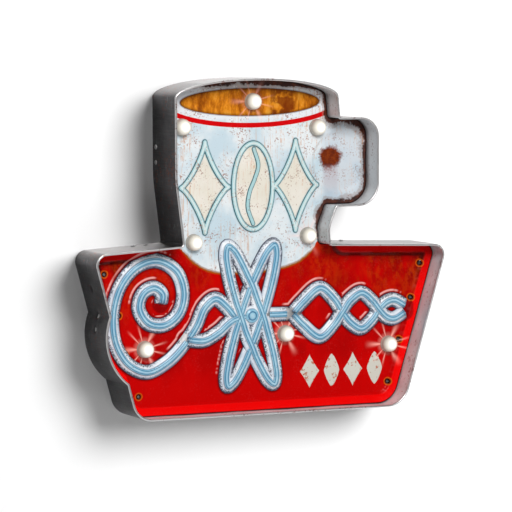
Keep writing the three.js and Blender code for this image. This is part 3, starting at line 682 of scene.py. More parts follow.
def face_height(p, panel_gap, mug_depth):
    """How far the pressed sheet stands forward of its plane."""
    inner = FACE_EDGE + BORDER["width"]
    rise = BORDER["rise"] * (1 - smooth_step(panel_gap, inner,
                                             inner + BORDER["slope"])) * (mug_depth < 3)
    dish_gap = np.linalg.norm(p - DISH["at"], axis=1)
    dish = DISH["drop"] * (1 - smooth_step(dish_gap, DISH["radius"] - 3.5, DISH["radius"]))
    return rise - dish * (p[:, 0] > 70)


height = face_height(flat, panel_gap, mug_depth)
height += ridge(figure_depth, 2.9, 1.5) + ridge(groove_gap, 2.4, 1.2) * (figure_depth > 1)
for p in NAIL_HOLES:
    height -= 0.7 * (1 - smooth_step(np.linalg.norm(flat - p, axis=1), HOLE_RADIUS["nail"], 3.6))
middle = flat[triangles].mean(1)
covered = np.min([gap(middle, path, closed) for path, closed in seats], axis=0) < SEAT
covered |= np.linalg.norm(middle - ORBIT["centre"], axis=1) < BALL_RADIUS - 0.6
triangles = triangles[~covered]
print("face sheet:", len(flat), "points,", len(triangles), "triangles")

# %% [markdown]
# What is printed on the sheet is decided in its finish, from distances kept on the points: how deep a
# point is in the mug print, in the drink, in a figure, how far it is from the stripe, a stroke or the
# edge. Where such a distance passes zero, the colour changes, so an edge stays sharp however coarse the
# triangles are.

# %% Values on the face sheet
stroke_gap = np.full(len(flat), 1e9)
glow_side = np.zeros(len(flat))
for closed, path in PATHS.values():
    d = gap(flat, path, closed)
    nearest = path[np.argmin(((flat[:, None, :] - path[None, ::3, :]) ** 2).sum(-1), axis=1) * 3]
    away = flat - nearest
    away /= np.maximum(np.linalg.norm(away, axis=1), 1e-6)[:, None]
    closer = d < stroke_gap
    stroke_gap[closer] = d[closer]
    glow_side[closer] = (away @ unit(np.array([-0.5, 0.87])))[closer]
lamp_gap = np.stack([np.linalg.norm(flat - p, axis=1) for p in LAMPS])
lamp_near = np.argmin(lamp_gap, axis=0)
from_lamp = flat - np.array(LAMPS)[lamp_near]
x, y = flat.T
edge_wear = np.where(mug_depth > 0, 1.0, 0.5)
edge_wear += 5.5 * smooth_step(y, 34, 42) * smooth_step(x, -75, -40)
handle_wear = 0.55 + 0.75 * smooth_step(np.abs(y + 42), 25, 45)
edge_wear += 4.2 * smooth_step(x, 84, 92) * (mug_depth > 0) * handle_wear
edge_wear += 7.0 * np.exp(-(((x - 84) / 9) ** 2 + ((y + 97) / 11) ** 2))
FACE_VALUES = {
    "mug": mug_depth, "drink": depth(flat, DRINK), "stripe": gap(flat, STRIPE, False),
    "figure": figure_depth,
    "small_figure": np.max([depth(flat, f) for f in SMALL_FIGURES], axis=0),
    "groove": groove_gap, "stroke": stroke_gap, "glow_side": glow_side, "edge": gap(flat, EDGE),
    "edge_wear": edge_wear, "lamp_x": from_lamp[:, 0], "lamp_y": from_lamp[:, 1],
    "lamp_reach": np.min(lamp_gap, axis=0),
    "lamp_shine": np.array([0.5, 0, 0, 0, 0.35, 1, 1, 1])[lamp_near],
    "nail": np.min([np.linalg.norm(flat - p, axis=1) for p in NAIL_HOLES], axis=0),
    "ledge": panel_gap, "bench_x": x, "bench_y": y,
}
print("values:", len(FACE_VALUES), "longest stroke gap (mm):", round(float(stroke_gap.max())))

# %% [markdown]
# ### Printed enamel
# The print is glossy lacquer over tin: red on the panel, a cold white on the mug, a rusty brown drink.
# The rust is part of an aged look, so it sits in specks, in streaks that run down, and along cut edges.
# Every layer is one Mix node whose factor is a mask made from the distances above.

# %% Red panel
def red_panel(n, cloud):
    read = n.read
    red = n.mix(n.step(cloud, 0.35, 0.68), srgb(200, 0, 0), srgb(172, 0, 0))
    low_panel = n.step(read("bench_y"), -235.0, -290.0)
    red = n.mix(low_panel, red, srgb(204, 0, 0))
    top_right = n.step(read("bench_x"), 20.0, 190.0)
    top_left = n.step(read("bench_x"), -60.0, -140.0)
    high = n.step(read("bench_y"), -215.0, -140.0)
    rusty_zone = n.times(high, n.plus(0.35, n.plus(n.times(top_right, 0.55), n.times(top_left, 0.6))))
    rusty = n.times(n.step(n.noise(n.place((1, 1, 0.5)), 34.0, 6.0, 0.62), 0.38, 0.66), rusty_zone)
    fine = n.step(n.noise(n.place((1, 1, 0.7), (0.3, 0.0, 0.1)), 150.0, 5.0, 0.65), 0.4, 0.6)
    red = n.coat(red, n.mix(fine, srgb(112, 12, 2), srgb(168, 56, 4)), rusty, 0.92)
    drips = use(n, DRIPS, Scale=420.0, Amount=0.35)
    red = n.mix(n.times(drips, n.plus(rusty_zone, 0.25)), red, srgb(120, 20, 6))
    # The border is painted a lighter red than the field, as painted light on the raised border; along its
    # top stretch it is darker, as painted shade under the band's top wall.
    border_painted_light = n.step(read("ledge"), 11.5, 9.5)
    red = n.mix(border_painted_light, red, n.mix(n.step(read("bench_y"), -150.0, -180.0), srgb(214, 0, 0),
                                      srgb(244, 2, 2)))
    under_top = n.times(n.step(read("bench_y"), -170.0, -146.0), 0.8)
    shade = n.times(n.step(n.apart(read("ledge"), 12.6), 3.4, 0.6), under_top)
    red = n.mix(shade, red, srgb(70, 2, 1))

    # Painted reflections: light lines on the red beside the strokes, on their upper left side.
    band = n.step(n.apart(read("stroke"), 10.3), 1.5, 0.7)
    part = n.step(n.noise(n.place(), 21.0, 2.0), 0.4, 0.5)
    side = n.step(read("glow_side"), 0.55, 0.85)
    line = n.times(n.times(band, side), part)
    red = n.coat(red, srgb(250, 176, 170), line, 0.85)
    # Painted shade: a dark red ring round the foot of every stroke.
    stroke_foot_shade = n.step(read("stroke"), 10.5, 8.2)
    red = n.coat(red, srgb(92, 0, 4), stroke_foot_shade, 0.6)
    return red


def painted_lamp_glow(n):
    """Painted light: rays and a halo of lamp glow round each lamp, on the sheet."""
    read = n.read
    angle = n.math("ARCTAN2", read("lamp_y"), read("lamp_x"))
    wobble = n.times(n.math("SINE", n.times(angle, 3.0)), 0.7)
    rays = n.math("POWER", n.apart(n.math("SINE", n.plus(n.times(angle, 4.5), wobble))), 22.0)
    reach = read("lamp_reach")
    ray = n.times(n.times(rays, n.step(reach, 29.0, 9.0)), read("lamp_shine"))
    halo = n.times(n.step(reach, 14.0, 8.0), n.times(read("lamp_shine"), 0.22))
    return n.math("MAXIMUM", n.times(ray, 0.62), halo)


print("panel functions ready")

# %% [markdown]
# The mug is a cold, cloudy white with small brown specks and drips. Its figures are cream with a double
# outline in teal. The drink is rust brown, with a dark stain to the right and fine upright scratches.

# %% Mug and drink
def drink_print(n, drink):
    read = n.read
    brown = n.ramp(n.noise(n.place((1, 1, 0.45)), 75.0, 7.0, 0.7),
                   [(0.3, srgb(96, 42, 8)), (0.44, srgb(166, 88, 14)), (0.56, srgb(216, 132, 28)),
                    (0.74, srgb(236, 176, 72))])
    stain_zone = n.minus(1.0, n.times(n.apart(read("bench_x"), 42.0), 0.05))
    stain = n.times(n.step(n.noise(n.place(), 90.0, 5.0), 0.42, 0.52), n.step(stain_zone, 0.1, 0.5))
    brown = n.coat(brown, srgb(112, 42, 6), stain, 0.8)
    scratch = n.step(n.noise(n.place((1, 1, 0.04)), 700.0, 2.0), 0.6, 0.7)
    brown = n.coat(brown, srgb(100, 48, 10), scratch, 0.4)
    return n.coat(brown, srgb(84, 40, 14), n.step(drink, 3.5, 0.5), 0.6)


def mug_print(n, frayed):
    read = n.read
    figure, drink = read("figure"), read("drink")
    cold = n.noise(n.place(), 26.0, 4.0, 0.55)
    white = n.mix(n.step(cold, 0.38, 0.62), srgb(196, 214, 223), srgb(227, 232, 234))
    white = n.mix(n.step(read("bench_x"), 84.0, 96.0), white,
                  n.mix(n.step(cold, 0.35, 0.6), srgb(186, 204, 216), srgb(208, 215, 221)))
    rim = n.step(read("bench_y"), 2.0, 9.0)
    white = n.mix(rim, white, srgb(226, 229, 233))
    specks = use(n, SPECKS, Scale=640.0, Amount=0.62)
    orange = n.times(use(n, DRIPS, Scale=520.0, Amount=0.9, Shift=(0.3, 0.1, 0.2)),
                     use(n, SPECKS, Scale=420.0, Amount=1.15, Shift=(0.5, 0.0, 0.0)))
    cream = n.mix(n.step(cold, 0.4, 0.62), srgb(226, 220, 206), srgb(234, 228, 218))
    tube_gap = n.apart(figure)
    paint = n.mix(n.step(figure, -0.1, 0.1), white, cream)
    paint = n.coat(paint, srgb(120, 170, 185), n.step(tube_gap, 4.4, 2.9), 0.5)
    paint = n.mix(n.step(tube_gap, 3.15, 2.85), paint, srgb(38, 92, 104))
    paint = n.mix(n.step(tube_gap, 2.3, 1.9), paint, srgb(172, 208, 212))
    paint = n.mix(n.step(tube_gap, 1.3, 0.5), paint, srgb(212, 228, 228))
    in_bean = n.times(n.step(figure, 2.4, 3.2), n.step(n.apart(read("bench_x"), 7.0), 24.0, 23.0))
    groove = read("groove")
    paint = n.mix(n.times(n.step(groove, 2.7, 2.4), in_bean), paint, srgb(38, 92, 104))
    paint = n.mix(n.times(n.step(groove, 1.9, 1.5), in_bean), paint, srgb(170, 208, 212))
    paint = n.coat(paint, srgb(140, 70, 30), specks, 0.75)
    paint = n.coat(paint, srgb(205, 130, 40), orange, 0.8)
    stripe = n.step(n.apart(read("stripe")), 2.65, 2.35)
    paint = n.mix(stripe, paint, srgb(206, 6, 12))
    brown = drink_print(n, drink)
    drink_line = n.step(n.apart(drink), 1.2, 0.4)
    paint = n.mix(n.step(n.plus(drink, n.times(frayed, 0.1)), -0.1, 0.1), paint, brown)
    paint = n.coat(paint, srgb(70, 42, 26), drink_line, 0.5)
    return paint, specks, stripe


print("mug functions ready")

# %% [markdown]
# The parts meet here: the mug lies over the panel with a rusty seam, small figures are printed on the
# red, and rust eats in along the edges, round the nail holes and in one round patch on the handle. A
# dark line along the sheet's edge and a dark disc round each nail hole are painted shade, and the
# glow round the lamps is painted light.

# %% Enamel
def enamel(n):
    read = n.read
    mug = read("mug")
    frayed = n.times(n.minus(n.noise(n.place(), 260.0, 5.0, 0.7), 0.5), 7.0)
    cloud = n.noise(n.place((1, 1, 0.6)), 28.0, 5.0, 0.6)
    red, shine = red_panel(n, cloud), painted_lamp_glow(n)
    paint, specks, stripe = mug_print(n, frayed)

    # The mug over the panel, with a rusty seam where the two prints meet.
    seam = n.plus(mug, n.times(frayed, 0.35))
    color = n.mix(n.step(seam, -0.15, 0.15), red, paint)
    seam_rust = n.times(n.step(n.apart(seam), 2.4, 0.6), n.step(read("bench_y"), -118.0, -140.0))
    color = n.coat(color, srgb(150, 92, 26), seam_rust, 0.75)

    # Small figures: off-white with chipped edges.
    small = n.step(n.plus(read("small_figure"), n.times(frayed, 0.12)), -0.1, 0.12)
    chip = n.mix(n.step(n.noise(n.place(), 300.0, 3.0), 0.6, 0.64), srgb(212, 209, 198),
                 srgb(188, 120, 96))
    color = n.mix(small, color, chip)

    # Rust along the edges, round the nail holes and in one round patch on the handle; painted shade in a
    # dark line along the sheet's edge and a dark disc round each nail hole.
    rust = use(n, RUST, "Color")
    edge = use(n, RAGGED, Distance=read("edge"), Width=read("edge_wear"), Raggedness=1.35)
    haze = use(n, RAGGED, Distance=read("edge"), Width=n.times(read("edge_wear"), 2.2), Raggedness=1.3)
    color = n.mix(n.times(haze, n.times(n.step(mug, 0.0, 1.0), 0.42)), color, srgb(140, 110, 98))
    color = n.coat(color, n.mix(0.72, rust, srgb(26, 13, 9)), edge, 0.96)
    away_x = n.minus(read("bench_x"), 98.0)
    away_y = n.minus(read("bench_y"), -35.0)
    patch_gap = n.math("SQRT", n.plus(n.times(away_x, away_x), n.times(away_y, away_y)))
    patch = use(n, RAGGED, Distance=patch_gap, Width=12.6, Raggedness=0.62)
    color = n.mix(patch, color, n.mix(0.45, rust, srgb(112, 38, 8)))
    under = n.times(n.step(n.apart(away_x), 11.0, 6.0), n.step(away_y, -6.0, -14.0))
    under = n.times(under, n.step(away_y, -46.0, -22.0))
    color = n.coat(color, srgb(178, 158, 166), under, 0.35)
    nail = read("nail")
    # Painted shade: a dark line along the sheet's edge, in the gap where it meets the band.
    edge_gap_shade = n.step(read("edge"), 1.5, 0.7)
    color = n.coat(color, srgb(22, 8, 8), edge_gap_shade, 0.85)
    halo_ring = n.step(n.plus(nail, n.times(frayed, 0.25)), 4.9, 3.7)
    color = n.mix(halo_ring, color, n.mix(n.step(nail, 3.9, 2.8), srgb(214, 92, 14), srgb(120, 36, 8)))
    # Painted shade: a dark disc round each nail hole, wider than the hole itself.
    color = n.mix(n.step(nail, 2.7, 2.2), color, srgb(24, 8, 6))
    worn = n.math("MAXIMUM", edge, n.math("MAXIMUM", patch, n.times(specks, 0.5)))
    # Painted light: the lamps' rays and halo, laid into the colour and, below, into a faint glow.
    color = n.mix(n.times(shine, n.step(stripe, 1.0, 0.0)), color, srgb(255, 205, 190))

    grit = n.noise(n.place(), 1500.0, 3.0)
    bumps = n.plus(n.times(grit, n.plus(0.12, worn)), n.times(cloud, 0.25))
    # The emission is painted light: a faint glow of the lamps' rays on the sheet.
    return {"Base Color": color, "Roughness": n.plus(0.27, n.times(worn, 0.5)),
            "Normal": bumped(n, bumps, 0.35, 0.0006),
            "Emission Color": n.mix(shine, (0.0, 0.0, 0.0), srgb(255, 120, 100))}


MATERIALS["enamel"] = material("printed enamel", enamel, specular_ior_level=0.1, emission_strength=0.35)
print("enamel nodes:", len(MATERIALS["enamel"].node_tree.nodes))

# %% [markdown]
# The back of the sheet is bare lacquered tin, and every raised stroke is a groove there. The front and
# back skins are two triangulations, joined by the turned-back flange, so that each can follow its own
# lines.

# %% Face sheet object
def bare_tin(n):
    cloud = n.noise(n.place(), 40.0, 5.0, 0.6)
    color = n.mix(n.step(cloud, 0.35, 0.68), srgb(168, 166, 167), srgb(192, 190, 189))
    rolled = n.noise(n.place((30, 1, 1)), 40.0, 3.0)
    color = n.coat(color, srgb(120, 118, 120), n.step(rolled, 0.4, 0.7), 0.25)
    spots = use(n, SPECKS, Scale=300.0, Amount=0.5, Shift=(0.9, 0.0, 0.0))
    color = n.coat(color, use(n, RUST, "Color"), spots, 0.8)
    return {"Base Color": color, "Roughness": n.plus(0.44, n.times(cloud, 0.2)),
            "Metallic": n.minus(0.62, n.times(spots, 0.5)),
            "Normal": bumped(n, rolled, 0.12, 0.0005)}


MATERIALS["bare tin"] = material("bare tin", bare_tin)
TUBE_HALF, STROKE_HALF, TUBE_RISE = 3.5, 8.0, 4.6


GROOVE_SIDES = (-STROKE_HALF, -TUBE_HALF, TUBE_HALF, STROKE_HALF)
groove_lines = [l for path, closed in seats for l in offset_lines(path[::2], closed, GROOVE_SIDES)]
groove_lines = [(c, l[(gap(l, EDGE) > 1.5) & inside(l, EDGE)] if not c else l) for c, l in groove_lines]
back_flat, back_triangles = triangulated(groove_lines, dots((-205, 235), (-305, 55), 3.0), holes, 1.0)
back_gap = np.min([gap(back_flat, path, closed) for path, closed in seats], axis=0)
back_height = face_height(back_flat, gap(back_flat, PANEL_EDGE, False), depth(back_flat, MUG_PRINT))
back_height += (TUBE_RISE - 1) * (1 - smooth_step(back_gap, TUBE_HALF - 0.5, STROKE_HALF - 0.3)) ** 0.8
skin_gap = np.min([gap(back_flat, path, closed) for closed, path in PATHS.values()], axis=0)
back_height = np.where(skin_gap < 8.5, np.minimum(back_height, stroke_top(skin_gap) + SHEET - 0.4),
                       back_height)
ball_gap = np.linalg.norm(back_flat - ORBIT["centre"], axis=1)
back_height = np.where(ball_gap < 11.3,
                       np.interp(ball_gap, [0, 5, 8, 9.5, 11], [5.2, 4.4, 2.4, 1.4, 0.0]), back_height)
back_height += ridge(np.max([depth(back_flat, f) for f in FIGURES], axis=0), 2.9, 1.3)


def flange():
    """Rings down the turned-back edge, outside and inside: (inset, forward, takes the border)."""
    rings = [(FACE_EDGE, -0.01, 1), (FACE_EDGE, -1.5, 1), (FACE_EDGE, -9.0, 0),
             (FACE_EDGE + SHEET, -9.0, 0), (FACE_EDGE + SHEET, -1.2, 1)]
    top = face_height(EDGE, gap(EDGE, PANEL_EDGE, False), depth(EDGE, MUG_PRINT))
    verts = [stand(inset(OUTLINE, d), FACE_FORWARD + f + b * top) for d, f, b in rings]
    return np.vstack(verts), grid_faces(len(rings), len(OUTLINE), around=True)


parts = [(stand(flat, FACE_FORWARD + height), triangles, 0),
         (stand(back_flat, FACE_FORWARD - SHEET + back_height), back_triangles, 1), (*flange(), 1)]
verts, faces, picks, start = [], [], [], 0
for v, f, pick in parts:
    verts.append(v)
    faces += [tuple(row + start) for row in f]
    picks += [pick] * len(f)
    start += len(v)
values = {k: np.concatenate([v, np.full(start - len(flat), 99.0)]) for k, v in FACE_VALUES.items()}
piece("face_sheet", np.vstack(verts), faces, [MATERIALS["enamel"], MATERIALS["bare tin"]],
      "face_enamel", values=values, nodes=["face_panel"], picks=picks, smooth=50)
print("face sheet faces:", len(faces))

# %% [markdown]
# ### Raised strokes
# Each stroke is a broad shoulder with a round tube along its top. A section is walked along the curve;
# where two strokes cross, one hops over the other by a millimetre, as the die maker cut them. The tube
# is printed with two blue lines and a pale middle, and the shoulders with dark stippling at their
# edges. Painted shade darkens the shoulder that faces away from the light, the shoulders' outer slopes
# and a line round each stroke's foot.

# %% Strokes
HOP, DIP, HOP_REACH = 1.3, -0.4, 16.0
LIT_FROM = unit(np.array([-0.35, 0.94]))


def crossings(path, other):
    """Places on a path, as point numbers, where it meets another path."""
    d = gap(path, other, False)
    found, k = [], 1
    while k < len(path) - 1:
        if d[k] < 1.2 and d[k] <= d[k - 1] and d[k] <= d[k + 1]:
            found.append(k)
            k += 12
        k += 1
    return found


def stroke(order):
    """Points, faces and values of one stroke; it hops over earlier ones and dips under later ones."""
    closed, path = list(PATHS.values())[order]
    lift = np.zeros(len(path))
    along = distance_along(path)
    for later, (_, other) in enumerate(PATHS.values()):
        if later == order:
            continue
        for k in crossings(path, other):
            reach = np.abs(along - along[k])
            reach = np.minimum(reach, along[-1] - reach) if closed else reach
            hop = 0.5 * (1 + np.cos(np.pi * np.clip(reach / HOP_REACH, 0, 1)))
            lift += (HOP if order > later else DIP) * hop
    lift = np.clip(lift, -0.5, HOP)
    profile = section()
    side = across(path, closed)
    width, rise = np.ones(len(path)), np.ones(len(path))
    end_gap = np.full(len(path), 99.0) if closed else np.minimum(along, along[-1] - along)
    if not closed:
        rise = np.clip(end_gap / 1.5, 0, 1) ** 0.5
        width = 0.86 + 0.14 * np.clip(end_gap / 3.0, 0, 1) ** 0.5
    flat = path[:, None, :] + side[:, None, :] * (profile[None, :, 0, None] * width[:, None, None])
    raised = lift[:, None] * np.clip(profile[None, :, 1], 0, 1)
    forward = FACE_FORWARD + profile[None, :, 1] * rise[:, None] + raised
    verts = stand(flat.reshape(-1, 2), forward.ravel())
    faces = skin(len(path), len(profile), along=closed, caps=() if closed else (0, len(path) - 1))
    sides = np.tile(profile[:, 0], len(path))
    values = {"side": sides, "tip": np.repeat(end_gap, len(profile)),
              "facing": np.repeat(side @ LIT_FROM, len(profile)) * np.sign(sides)}
    return verts, faces, values


def stroke_paint(n):
    read = n.read
    side = n.apart(read("side"))
    cloud = n.noise(n.place(), 70.0, 5.0, 0.6)
    body = n.mix(n.step(cloud, 0.36, 0.64), srgb(208, 220, 232), srgb(240, 244, 248))
    shade = n.times(n.step(read("facing"), 0.05, -0.75), n.step(side, 3.4, 7.0))
    body = n.coat(body, srgb(58, 70, 112), shade, 0.85)
    lit = n.times(n.step(read("facing"), 0.2, 0.95), n.step(side, 3.6, 7.0))
    body = n.coat(body, srgb(158, 166, 182), lit, 0.3)
    # Painted shade: the shoulders darken down their outer slopes.
    body = n.coat(body, srgb(112, 124, 152), n.step(side, 5.2, 7.4), 0.35)
    pepper_zone = n.times(n.step(side, 3.0, 6.4), n.step(n.noise(n.place(), 22.0, 2.0), 0.34, 0.5))
    grain = n.noise(n.place(), 900.0, 2.0, 0.55)
    edge = n.minus(0.7, n.times(pepper_zone, 0.25))
    pepper = n.step(grain, edge, n.plus(edge, 0.05))
    body = n.coat(body, srgb(44, 48, 62), pepper, 0.85)
    # Painted shade: a dark line round the foot of the stroke.
    body = n.mix(n.step(side, 7.05, 7.75), body, srgb(44, 50, 72))
    tube = n.mix(n.step(cloud, 0.4, 0.62), srgb(120, 178, 206), srgb(152, 200, 220))
    tube = n.coat(tube, srgb(196, 222, 234), n.step(side, 1.2, 0.2), 0.5)
    line = n.step(n.apart(side, 1.55), 0.5, 0.2)
    tube = n.coat(tube, srgb(40, 104, 146), line, 0.9)
    color = n.mix(n.step(side, 3.1, 2.8), body, tube)
    outer = n.step(n.apart(side, 3.1), 0.5, 0.15)
    color = n.coat(color, srgb(66, 104, 138), outer, 0.6)
    # Darker speckles within a few millimetres of an open stroke's end.
    dark_tip = n.times(n.step(read("tip"), 7.0, 1.0), n.step(grain, 0.42, 0.55))
    color = n.coat(color, srgb(58, 66, 92), dark_tip, 0.8)
    specks = use(n, SPECKS, Scale=520.0, Amount=0.55, Shift=(0.2, 0.4, 0.0))
    color = n.coat(color, srgb(86, 62, 52), specks, 0.6)
    return {"Base Color": color, "Roughness": n.plus(0.26, n.times(pepper, 0.4)),
            "Normal": bumped(n, grain, 0.25, 0.0004)}


MATERIALS["stroke"] = material("stroke print", stroke_paint, specular_ior_level=0.35, coat_weight=0.12,
                               coat_roughness=0.18)
# The ball at the middle of the orbits: a low dome, a step round its foot, in the stroke's own print.
dome = [(BALL_RADIUS, -0.3), (BALL_RADIUS - 0.1, 0.8), (BALL_RADIUS - 0.9, 1.9), (8.8, 2.6)]
dome += [(8.2 * math.cos(a), 3.0 + 3.4 * math.sin(a)) for a in np.radians([4, 18, 32, 46, 60, 74, 86])]
dome_radius, dome_height = np.array(dome[::-1]).T
verts, faces, start = [], [], 0
values = {"side": [], "tip": [], "facing": []}
for order in range(len(PATHS)):
    v, f, a = stroke(order)
    own = -v[:, 1] / MM - FACE_FORWARD
    bench = v[:, [0, 2]] / MM - SHIFT
    lifts = [0.0 if later == order else HOP if later > order else DIP for later in range(len(PATHS))]
    tops = [stroke_top(gap(bench, path, closed)) for closed, path in PATHS.values()]
    over = [np.where(top > 0, top + lift - own, -9.0) for top, lift in zip(tops, lifts)]
    from_ball = np.linalg.norm(bench - ORBIT["centre"], axis=1)
    over.append(np.interp(from_ball, dome_radius, dome_height, right=-9.0) - own)
    hidden = np.max(over, axis=0) > 0.35
    f = [row for row in f if not all(hidden[list(row)])]
    verts.append(v)
    faces += [tuple(int(i) + start for i in row) for row in f]
    start += len(v)
    for key in values:
        values[key].append(a[key])

spin = circle(48)
flat_ball = np.vstack([np.array(ORBIT["centre"]) + spin * r for r, _ in dome])
verts.append(stand(flat_ball, FACE_FORWARD + np.repeat([h for _, h in dome], 48)))
faces += skin(len(dome), 48, start, around=True, caps=(len(dome) - 1,))
ball_side = np.repeat([8, 7.9, 7.0, 4.4, 3.7, 3.3, 2.7, 2.3, 1.4, 0.6, 0.0], 48)
for key, value in (("side", ball_side), ("tip", ball_side * 0 + 99),
                   ("facing", np.tile(spin @ LIT_FROM, len(dome)))):
    values[key].append(value)
piece("raised_strokes", np.vstack(verts), faces, MATERIALS["stroke"], "face_enamel",
      values={k: np.concatenate(v) for k, v in values.items()}, smooth=55)
print("strokes:", len(faces), "faces")

# %% [markdown]
# ## Side band
# The band is a strip of tin on edge, its front edge folded inwards to a safe round hem. It is darkened
# outside and paler inside. A section is walked round the outline in three strips that meet at spliced
# joints. Small round dents low on the left wall are the spot welds that hold the flange of the face.

# %% Band strips
HEM_DEPTH, HEM_GAP = 3.5, 0.2
WELDS = [(1, -165.0), (1, -193.0), (1, -207.0), (0, -20.0)]


def band_section():
    """Section as (inset, forward, is it inside): up the outside, round the hem, down the inside."""
    outer = [(0.0, f, 0) for f in (*np.linspace(0, 55, 20), 57, 58)]
    hem = [(1.1 - 1.1 * math.cos(a), 58.9 + 1.1 * math.sin(a),
            0.5) for a in np.radians(np.arange(0, 181, 22.5))]
    lip = [(2.2, 57.5, 1), (2.2, BAND_DEPTH - HEM_DEPTH, 1), (1.25, BAND_DEPTH - HEM_DEPTH, 1),
           (1.25, 57.6, 1), (1.0, 57.6, 1)]
    return np.array(outer + hem + lip + [(1.0, f, 1) for f in np.linspace(55.5, 0, 20)])


def band(name, start, end):
    profile = band_section()
    rails = [stretch(inset(OUTLINE, d), start, end) for d in (0.0, 1.0)]
    inward = rails[1] - rails[0]
    line = rails[0]
    along = distance_along(line)
    flat = line[:, None, :] + inward[:, None, :] * profile[None, :, 0, None]
    forward = np.broadcast_to(profile[None, :, 1], flat.shape[:2]).copy()
    press = np.zeros(flat.shape[:2])
    for panel, y in WELDS:
        k = np.argmin(np.abs(line[:, 1] - y) + (line[:, 0] > 0) * 999)
        if abs(line[k, 1] - y) > 4 or line[k, 0] > 0:
            continue
        away = ((along - along[k])[:, None] / 5.0) ** 2 + ((forward - 27) / 4.0) ** 2
        press += (1.6 if panel else 0.5) * np.exp(-away)
    wave = 0.22 * np.sin(along / 17.0)[:, None] * np.sin(forward / 19.0)
    wave = wave + 0.12 * np.sin(along / 6.1 + 1)[:, None]
    bulge = press + wave * np.sin(np.pi * np.clip(forward / 60, 0, 1))
    flat = flat + inward[:, None, :] * bulge[:, :, None]
    verts = stand(flat.reshape(-1, 2), forward.ravel())
    m = len(profile)
    faces = skin(len(line), m, around=True, caps=(0, len(line) - 1))
    values = {"inside": np.tile(profile[:, 2], len(line)), "along": np.repeat(along, m),
              "forward": forward.ravel(), "press": press.ravel(),
              "up": np.repeat(-unit_rows(inward)[:, 1], m),
              "bench_x": flat[:, :, 0].ravel(), "bench_y": flat[:, :, 1].ravel()}
    return piece(name, verts, faces, MATERIALS["band"], "band_tin", values=values, nodes=[name],
                 smooth=40)


def band_tin(n):
    read = n.read
    within = n.step(read("inside"), 0.55, 0.95)
    hem = n.step(n.apart(read("inside"), 0.5), 0.3, 0.1)
    cloud = n.noise(n.place(), 34.0, 5.0, 0.6)
    brushed = n.noise(n.place((1, 0.05, 1)), 900.0, 3.0, 0.5)
    long_scratch = n.step(n.noise(n.place((6, 6, 0.5)), 90.0, 3.0, 0.5), 0.66, 0.72)
    dark = n.mix(n.step(cloud, 0.36, 0.66), srgb(50, 49, 51), srgb(72, 71, 73))
    # Painted light: the outside is lighter where it faces up, as if catching the light from above.
    top_painted_light = n.mix(n.step(cloud, 0.36, 0.66), srgb(70, 66, 66), srgb(94, 89, 88))
    outer = n.mix(n.step(read("up"), 0.35, 0.9), dark, top_painted_light)
    outer = n.coat(outer, srgb(140, 140, 142), n.step(brushed, 0.4, 0.75), 0.12)
    outer = n.coat(outer, srgb(190, 190, 192), long_scratch, 0.3)
    inner = n.mix(n.step(cloud, 0.36, 0.66), srgb(206, 214, 216), srgb(226, 233, 235))
    mug_side = n.step(read("bench_y"), -118.0, -108.0)
    inner = n.coat(inner, srgb(216, 216, 218), mug_side, 0.6)
    foot = n.step(read("forward"), 40.0, 32.5)
    inner = n.mix(n.times(foot, n.times(n.step(cloud, 0.3, 0.6), 0.7)), inner, srgb(92, 78, 76))
    color = n.mix(within, outer, inner)
    color = n.coat(color, srgb(14, 13, 14), n.step(read("press"), 0.25, 1.1), 0.8)
    # The hem is near white all round: bare metal worn on the fold, with a painted highlight along it.
    color = n.coat(color, srgb(222, 220, 220), hem, 0.85)
    seam = n.times(n.step(n.apart(read("forward"), 56.3), 0.5, 0.2), within)
    dash = n.step(n.math("SINE", n.times(read("along"), 2.2)), -0.4, 0.2)
    color = n.coat(color, srgb(40, 36, 38), n.times(seam, dash), 0.75)
    spots = use(n, SPECKS, Scale=360.0, Amount=0.62, Shift=(0.1, 0.7, 0.0))
    color = n.coat(color, use(n, RUST, "Color"), spots, 0.6)
    rough = n.plus(0.26, n.times(cloud, 0.18))
    metal = n.minus(0.9, n.times(within, 0.8))
    bumps = n.plus(n.times(brushed, 0.25), n.times(cloud, 1.2))
    return {"Base Color": color, "Roughness": rough, "Metallic": metal,
            "Normal": bumped(n, bumps, 0.3, 0.0012)}


MATERIALS["band"] = material("band tin", band_tin)
for name, start, end in (("band_mug", "left", "handle"), ("band_handle", "handle", "right"),
                         ("band_base", "right", "left")):
    strip = band(name, start, end)
    print(name, len(strip.data.vertices), "points")

# %% [markdown]
# ## Lamps
# Each lamp is a frosted cap over a small LED: a short barrel, a dome, and a neck through the sheet. It
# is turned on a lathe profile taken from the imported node's own box. The light inside is shown by
# emission that falls off towards the edge of the cap, where the frosted wall is seen edge on and looks
# beige.

# %% Globes and sockets
def turned(name, profile, centre, finish, slot, sides=48, values=None, **more):
    """A lathe of (radius, forward) pairs about an axis that points forward from the wall."""
    flat = np.vstack([np.array(centre) + circle(sides) * max(r, 0.02) for r, _ in profile])
    faces = skin(len(profile), sides, around=True, caps=(0, len(profile) - 1))
    forward = np.repeat([f for _, f in profile], sides)
    values = {k: np.repeat(v, sides) for k, v in (values or {}).items()}
    return piece(name, stand(flat, forward), faces, finish, slot, values=values, **more)


